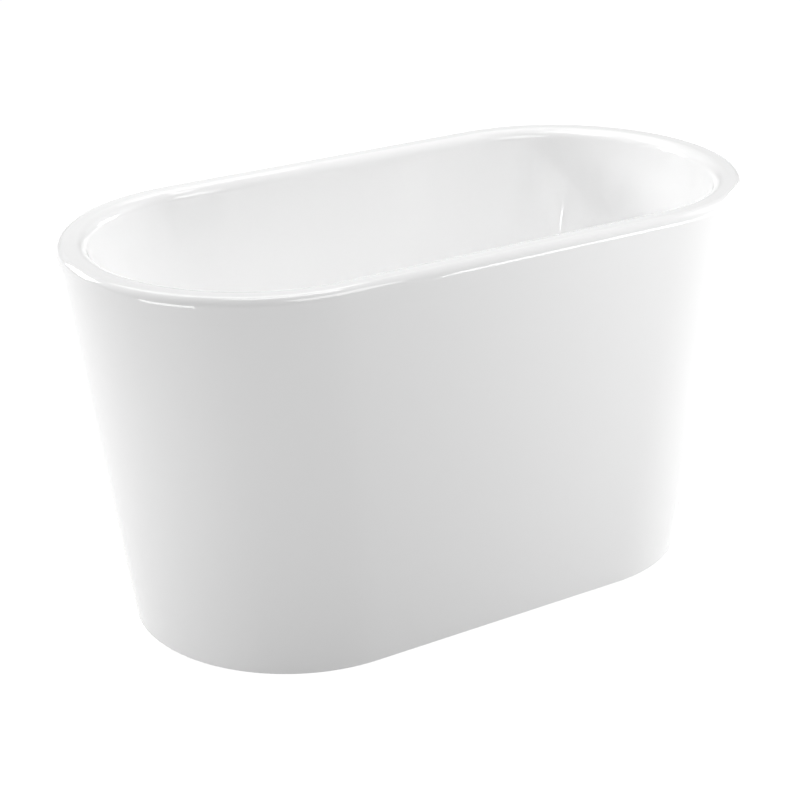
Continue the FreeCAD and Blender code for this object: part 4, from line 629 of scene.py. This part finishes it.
# The waste: a brass casting turned, polished and chrome-plated. Its flange lies level with the floor, its
# threaded tube passes down into the waste body, and a four-armed web across the tube holds the post.
# The chrome mirrors all that is round it, a little bluish, and wiping leaves it faintly streaked.
chrome, tree = blank_material("polished chrome plate")
place = add(tree, "TexCoord").outputs["Object"]
wiped = add(tree, "TexNoise", {"Vector": place, "Scale": 1000 / 9, "Detail": 5})
shine = add(tree, "MapRange", {
    "Value": wiped, "From Min": 0.4, "From Max": 0.75, "To Min": 0.04, "To Max": 0.11})
colour = add(tree, "MixRGB", {"Fac": wiped, "Color1": linear("#DADDE0"), "Color2": linear("#E8EAEB")})
relief = add(tree, "Bump", {"Height": wiped, "Strength": 0.15, "Distance": 0.00005})
shader = add(tree, "BsdfPrincipled", {
    "Base Color": colour, "Metallic": 1, "Roughness": shine, "Normal": relief})
add(tree, "OutputMaterial", {"Surface": shader})


def bar_along(section, start, end, crosswise=False):
    """Carries a closed section (across, up) straight along X between two places, or crosswise along Y, and
    closes both ends to a point in the section's middle."""
    section = np.array(section, float)
    middle = section[:-1].mean(0)
    places = np.array([start, start, end, end], float)[:, None]
    size = np.array([0, 1, 1, 0], float)[:, None]
    across = middle[0] + size * (section[:, 0] - middle[0])
    up = middle[1] + size * (section[:, 1] - middle[1])
    along = np.broadcast_to(places, across.shape)
    return np.stack([-across, along, up] if crosswise else [along, across, up], -1)


# The flange's outline runs up the tube's bore, over the dished top and back under it to the thread.
TUBE_BORE, TUBE_RADIUS, TUBE_END, FLANGE_UNDER, TUBE_COLUMNS = 21.5, 23.9, 108, 137.5, 96
WEB_BOTTOM, WEB_TOP, WEB_REACH, ARM_HALF = 118, 122, 22.7, 1.5
POST_HOLE, BOSS_RADIUS, BOSS_BOTTOM = 4.05, 7, 112
flange_top = turned([
    (TUBE_BORE, TUBE_END + 0.4), (TUBE_BORE, 138.3), (21.7, 138.75), (22.2, 138.95), (30.6, 139.9),
    (31.2, FLOOR_TOP), (33.2, FLOOR_TOP), (33.9, 139.85), (35.6, 138.95), (35.95, 138.6), (36, 138.2),
    (36, 137.8), (35.7, FLANGE_UNDER), (TUBE_RADIUS, FLANGE_UNDER), (TUBE_RADIUS, 134.1)], TUBE_COLUMNS)
tube_thread = thread(
    TUBE_RADIUS, depth=1, pitch=2.3, bottom=TUBE_END + 1, top=134, columns=TUBE_COLUMNS)[::-1]
tube_end = turned([(23.5, TUBE_END), (21.9, TUBE_END), (TUBE_BORE, TUBE_END + 0.4)], TUBE_COLUMNS)
flange_grid = np.concatenate([flange_top, tube_thread, tube_end])
arm = rounded([
    (-ARM_HALF, WEB_BOTTOM, 0.5), (ARM_HALF, WEB_BOTTOM, 0.5), (ARM_HALF, WEB_TOP, 0.5),
    (-ARM_HALF, WEB_TOP, 0.5)], 3)
arms = [bar_along(arm, -WEB_REACH, WEB_REACH), bar_along(arm, -WEB_REACH, WEB_REACH, crosswise=True)]
boss = turned(rounded([
    (POST_HOLE, BOSS_BOTTOM, 0.3), (BOSS_RADIUS, BOSS_BOTTOM, 0.8), (BOSS_RADIUS, WEB_TOP, 0.8),
    (POST_HOLE, WEB_TOP, 0.3)]), 48)
piece("waste_flange_chrome", [flange_grid, boss, *arms], chrome, ["waste_flange"])

# The plug: a domed chrome cap that lifts 9 mm on a brass sleeve. The post in the web guides the sleeve,
# and a coil spring on the post's collar pushes the cap up. Turned brass is yellow and fairly bright, with
# rings from the tool, which are drawn coarser than they are, so that they show.
turned_brass, tree = blank_material("turned brass")
place = add(tree, "TexCoord").outputs["Object"]
tool_marks = add(tree, "TexWave", {
    "Vector": place, "Scale": 1000 / 2.4, "Distortion": 0.3, "Detail": 1}, bands_direction="Z")
tarnish = add(tree, "TexNoise", {"Vector": place, "Scale": 1000 / 5, "Detail": 3})
colour = add(tree, "MixRGB", {"Fac": tarnish, "Color1": linear("#C8A04A"), "Color2": linear("#DDBD72")})
shine = add(tree, "MapRange", {"Value": tarnish, "To Min": 0.2, "To Max": 0.38})
relief = add(tree, "Bump", {"Height": tool_marks.outputs["Fac"], "Strength": 0.3, "Distance": 0.00003})
shader = add(tree, "BsdfPrincipled", {
    "Base Color": colour, "Metallic": 1, "Roughness": shine, "Normal": relief})
add(tree, "OutputMaterial", {"Surface": shader})
dress(turned_brass, "clicker_post", "plug_sleeve")

# The cap's outline runs out under it, round the collar that holds the seal, and back over the dome.
CAP_RADIUS, CAP_UNDER, COLLAR_END, COLLAR_BORE, COLLAR_RADIUS = 31, 151.82, 149.32, 18, 21.9
cap_outline = rounded([
    (0, CAP_UNDER, 0), (COLLAR_BORE, CAP_UNDER, 0.3), (COLLAR_BORE, COLLAR_END, 0.3),
    (COLLAR_RADIUS, COLLAR_END, 0.3), (COLLAR_RADIUS, CAP_UNDER, 0.2), (CAP_RADIUS, CAP_UNDER, 0.5),
    (CAP_RADIUS, 157.1, 3.8), (0, 157.52, 0)], 8)
piece("plug_cap_chrome", [turned(cap_outline, 96)], chrome, ["plug_cap"], "plug")

# The spring's wire is stainless steel, drawn through dies, which leave it smooth and softly bright.
drawn_wire, tree = blank_material("drawn stainless wire")
place = add(tree, "TexCoord").outputs["Object"]
dies = add(tree, "TexNoise", {"Vector": place, "Scale": 1000 / 0.7, "Detail": 2})
shine = add(tree, "MapRange", {"Value": dies, "To Min": 0.22, "To Max": 0.38})
colour = add(tree, "MixRGB", {"Fac": dies, "Color1": linear("#A3A5A7"), "Color2": linear("#BCBDBE")})
shader = add(tree, "BsdfPrincipled", {"Base Color": colour, "Metallic": 1, "Roughness": shine})
add(tree, "OutputMaterial", {"Surface": shader})

# The coil's middle line is a helix, and the wire is a circle about it in the plane of the outward way and
# the cross product of the line's own direction with that way.
COIL, WIRE, SPRING_FOOT, SPRING_HEAD, TURNS, PLUG_TRAVEL = 4.3, 0.4, 124, 151.72, 8, 9
swing = np.linspace(0, 2 * pi * TURNS, 24 * TURNS + 1)[:, None]
climb = (SPRING_HEAD - SPRING_FOOT - 2 * WIRE) / (2 * pi * TURNS)
outward = np.stack([np.cos(swing), np.sin(swing), 0 * swing], -1)
onward = np.stack([-COIL * np.sin(swing), COIL * np.cos(swing), climb + 0 * swing], -1)
onward = onward / sqrt(COIL ** 2 + climb ** 2)
line = COIL * outward + np.stack([0 * swing, 0 * swing, SPRING_FOOT + WIRE + climb * swing], -1)
around = np.linspace(0, 2 * pi, 13)[:, None]
wire = line + WIRE * (np.cos(around) * outward + np.sin(around) * np.cross(onward, outward))
coil = np.concatenate([line[:1] + 0 * wire[:1], wire, line[-1:] + 0 * wire[-1:]])
spring = piece("spring_coil", [coil], drawn_wire, ["plug_spring"], crease=60)
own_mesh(spring)

# The seals and gaskets: rings moulded in black rubber, pressed tight by the nuts, the flange, the plug and
# the overflow's screw. Rubber is dull, and here it is very slightly dusty.
rubber, tree = blank_material("moulded black rubber")
place = add(tree, "TexCoord").outputs["Object"]
dust = add(tree, "TexNoise", {"Vector": place, "Scale": 1000 / 3, "Detail": 5})
colour = add(tree, "MixRGB", {"Fac": dust, "Color1": linear("#18181A"), "Color2": linear("#2A2A2B")})
shine = add(tree, "MapRange", {"Value": dust, "To Min": 0.6, "To Max": 0.85})
relief = add(tree, "Bump", {"Height": dust, "Strength": 0.2, "Distance": 0.0001})
shader = add(tree, "BsdfPrincipled", {
    "Base Color": colour, "IOR": 1.52, "Roughness": shine, "Normal": relief})
add(tree, "OutputMaterial", {"Surface": shader})
dress(rubber, "plug_seal", "waste_gasket_upper", "waste_gasket_lower", "trap_seal", "overflow_gasket",
      "overflow_top_seal", "overflow_bottom_seal")

# The waste body, trap, overflow pipe and their union nuts: white polypropylene, moulded, with the satin
# surface that waste pipes have and a faint flow pattern in the skin.
polypropylene, tree = blank_material("moulded white polypropylene")
place = add(tree, "TexCoord").outputs["Object"]
flow = add(tree, "TexNoise", {"Vector": place, "Scale": 1000 / 25, "Detail": 3, "Distortion": 0.8})
skin = add(tree, "TexNoise", {"Vector": place, "Scale": 1000 / 0.7, "Detail": 1})
colour = add(tree, "MixRGB", {"Fac": flow, "Color1": linear("#E6E5E0"), "Color2": linear("#EFEEEA")})
shine = add(tree, "MapRange", {"Value": flow, "To Min": 0.32, "To Max": 0.46})
relief = add(tree, "Bump", {"Height": skin, "Strength": 0.25, "Distance": 0.00004})
shader = add(tree, "BsdfPrincipled", {
    "Base Color": colour, "IOR": 1.49, "Roughness": shine, "Normal": relief})
add(tree, "OutputMaterial", {"Surface": shader})
dress(polypropylene, "waste_body", "trap_nut", "trap_pipe", "overflow_elbow", "overflow_pipe",
      "overflow_top_nut", "overflow_bottom_nut")

# The overflow's cover: a chrome disc that stands 3 mm off the front wall, so that water runs in behind
# its edge. Its hub passes through the wall, and one long screw pulls the elbow behind against it.
# Its outline runs out over the hub's end, up the hub, and round the disc with its rim turned back.
HUB_BORE, HUB_RADIUS, HUB_BACK = 2.6, 6, 12
DISC_RADIUS, DISC_BACK, RIM_BACK, DISC_FRONT = 31, 19, 15, 22
cover_outline = rounded([
    (HUB_BORE, 0, 0.2), (HUB_RADIUS, 0, 0.3), (HUB_RADIUS, DISC_BACK, 0.6), (28, DISC_BACK, 0.8),
    (28, RIM_BACK, 0.6), (DISC_RADIUS, RIM_BACK, 0.6), (DISC_RADIUS, DISC_FRONT, 1.5),
    (HUB_BORE, DISC_FRONT, 0.2)], 6)
cover_foot = np.array([0, OVERFLOW_FACE, OVERFLOW_UP]) - HUB_BACK * np.array(INWARD)
piece("overflow_cover_chrome", [seated(turned(cover_outline, 96), cover_foot, INWARD)],
      chrome, ["overflow_cover"])
dress(chrome, "overflow_screw")
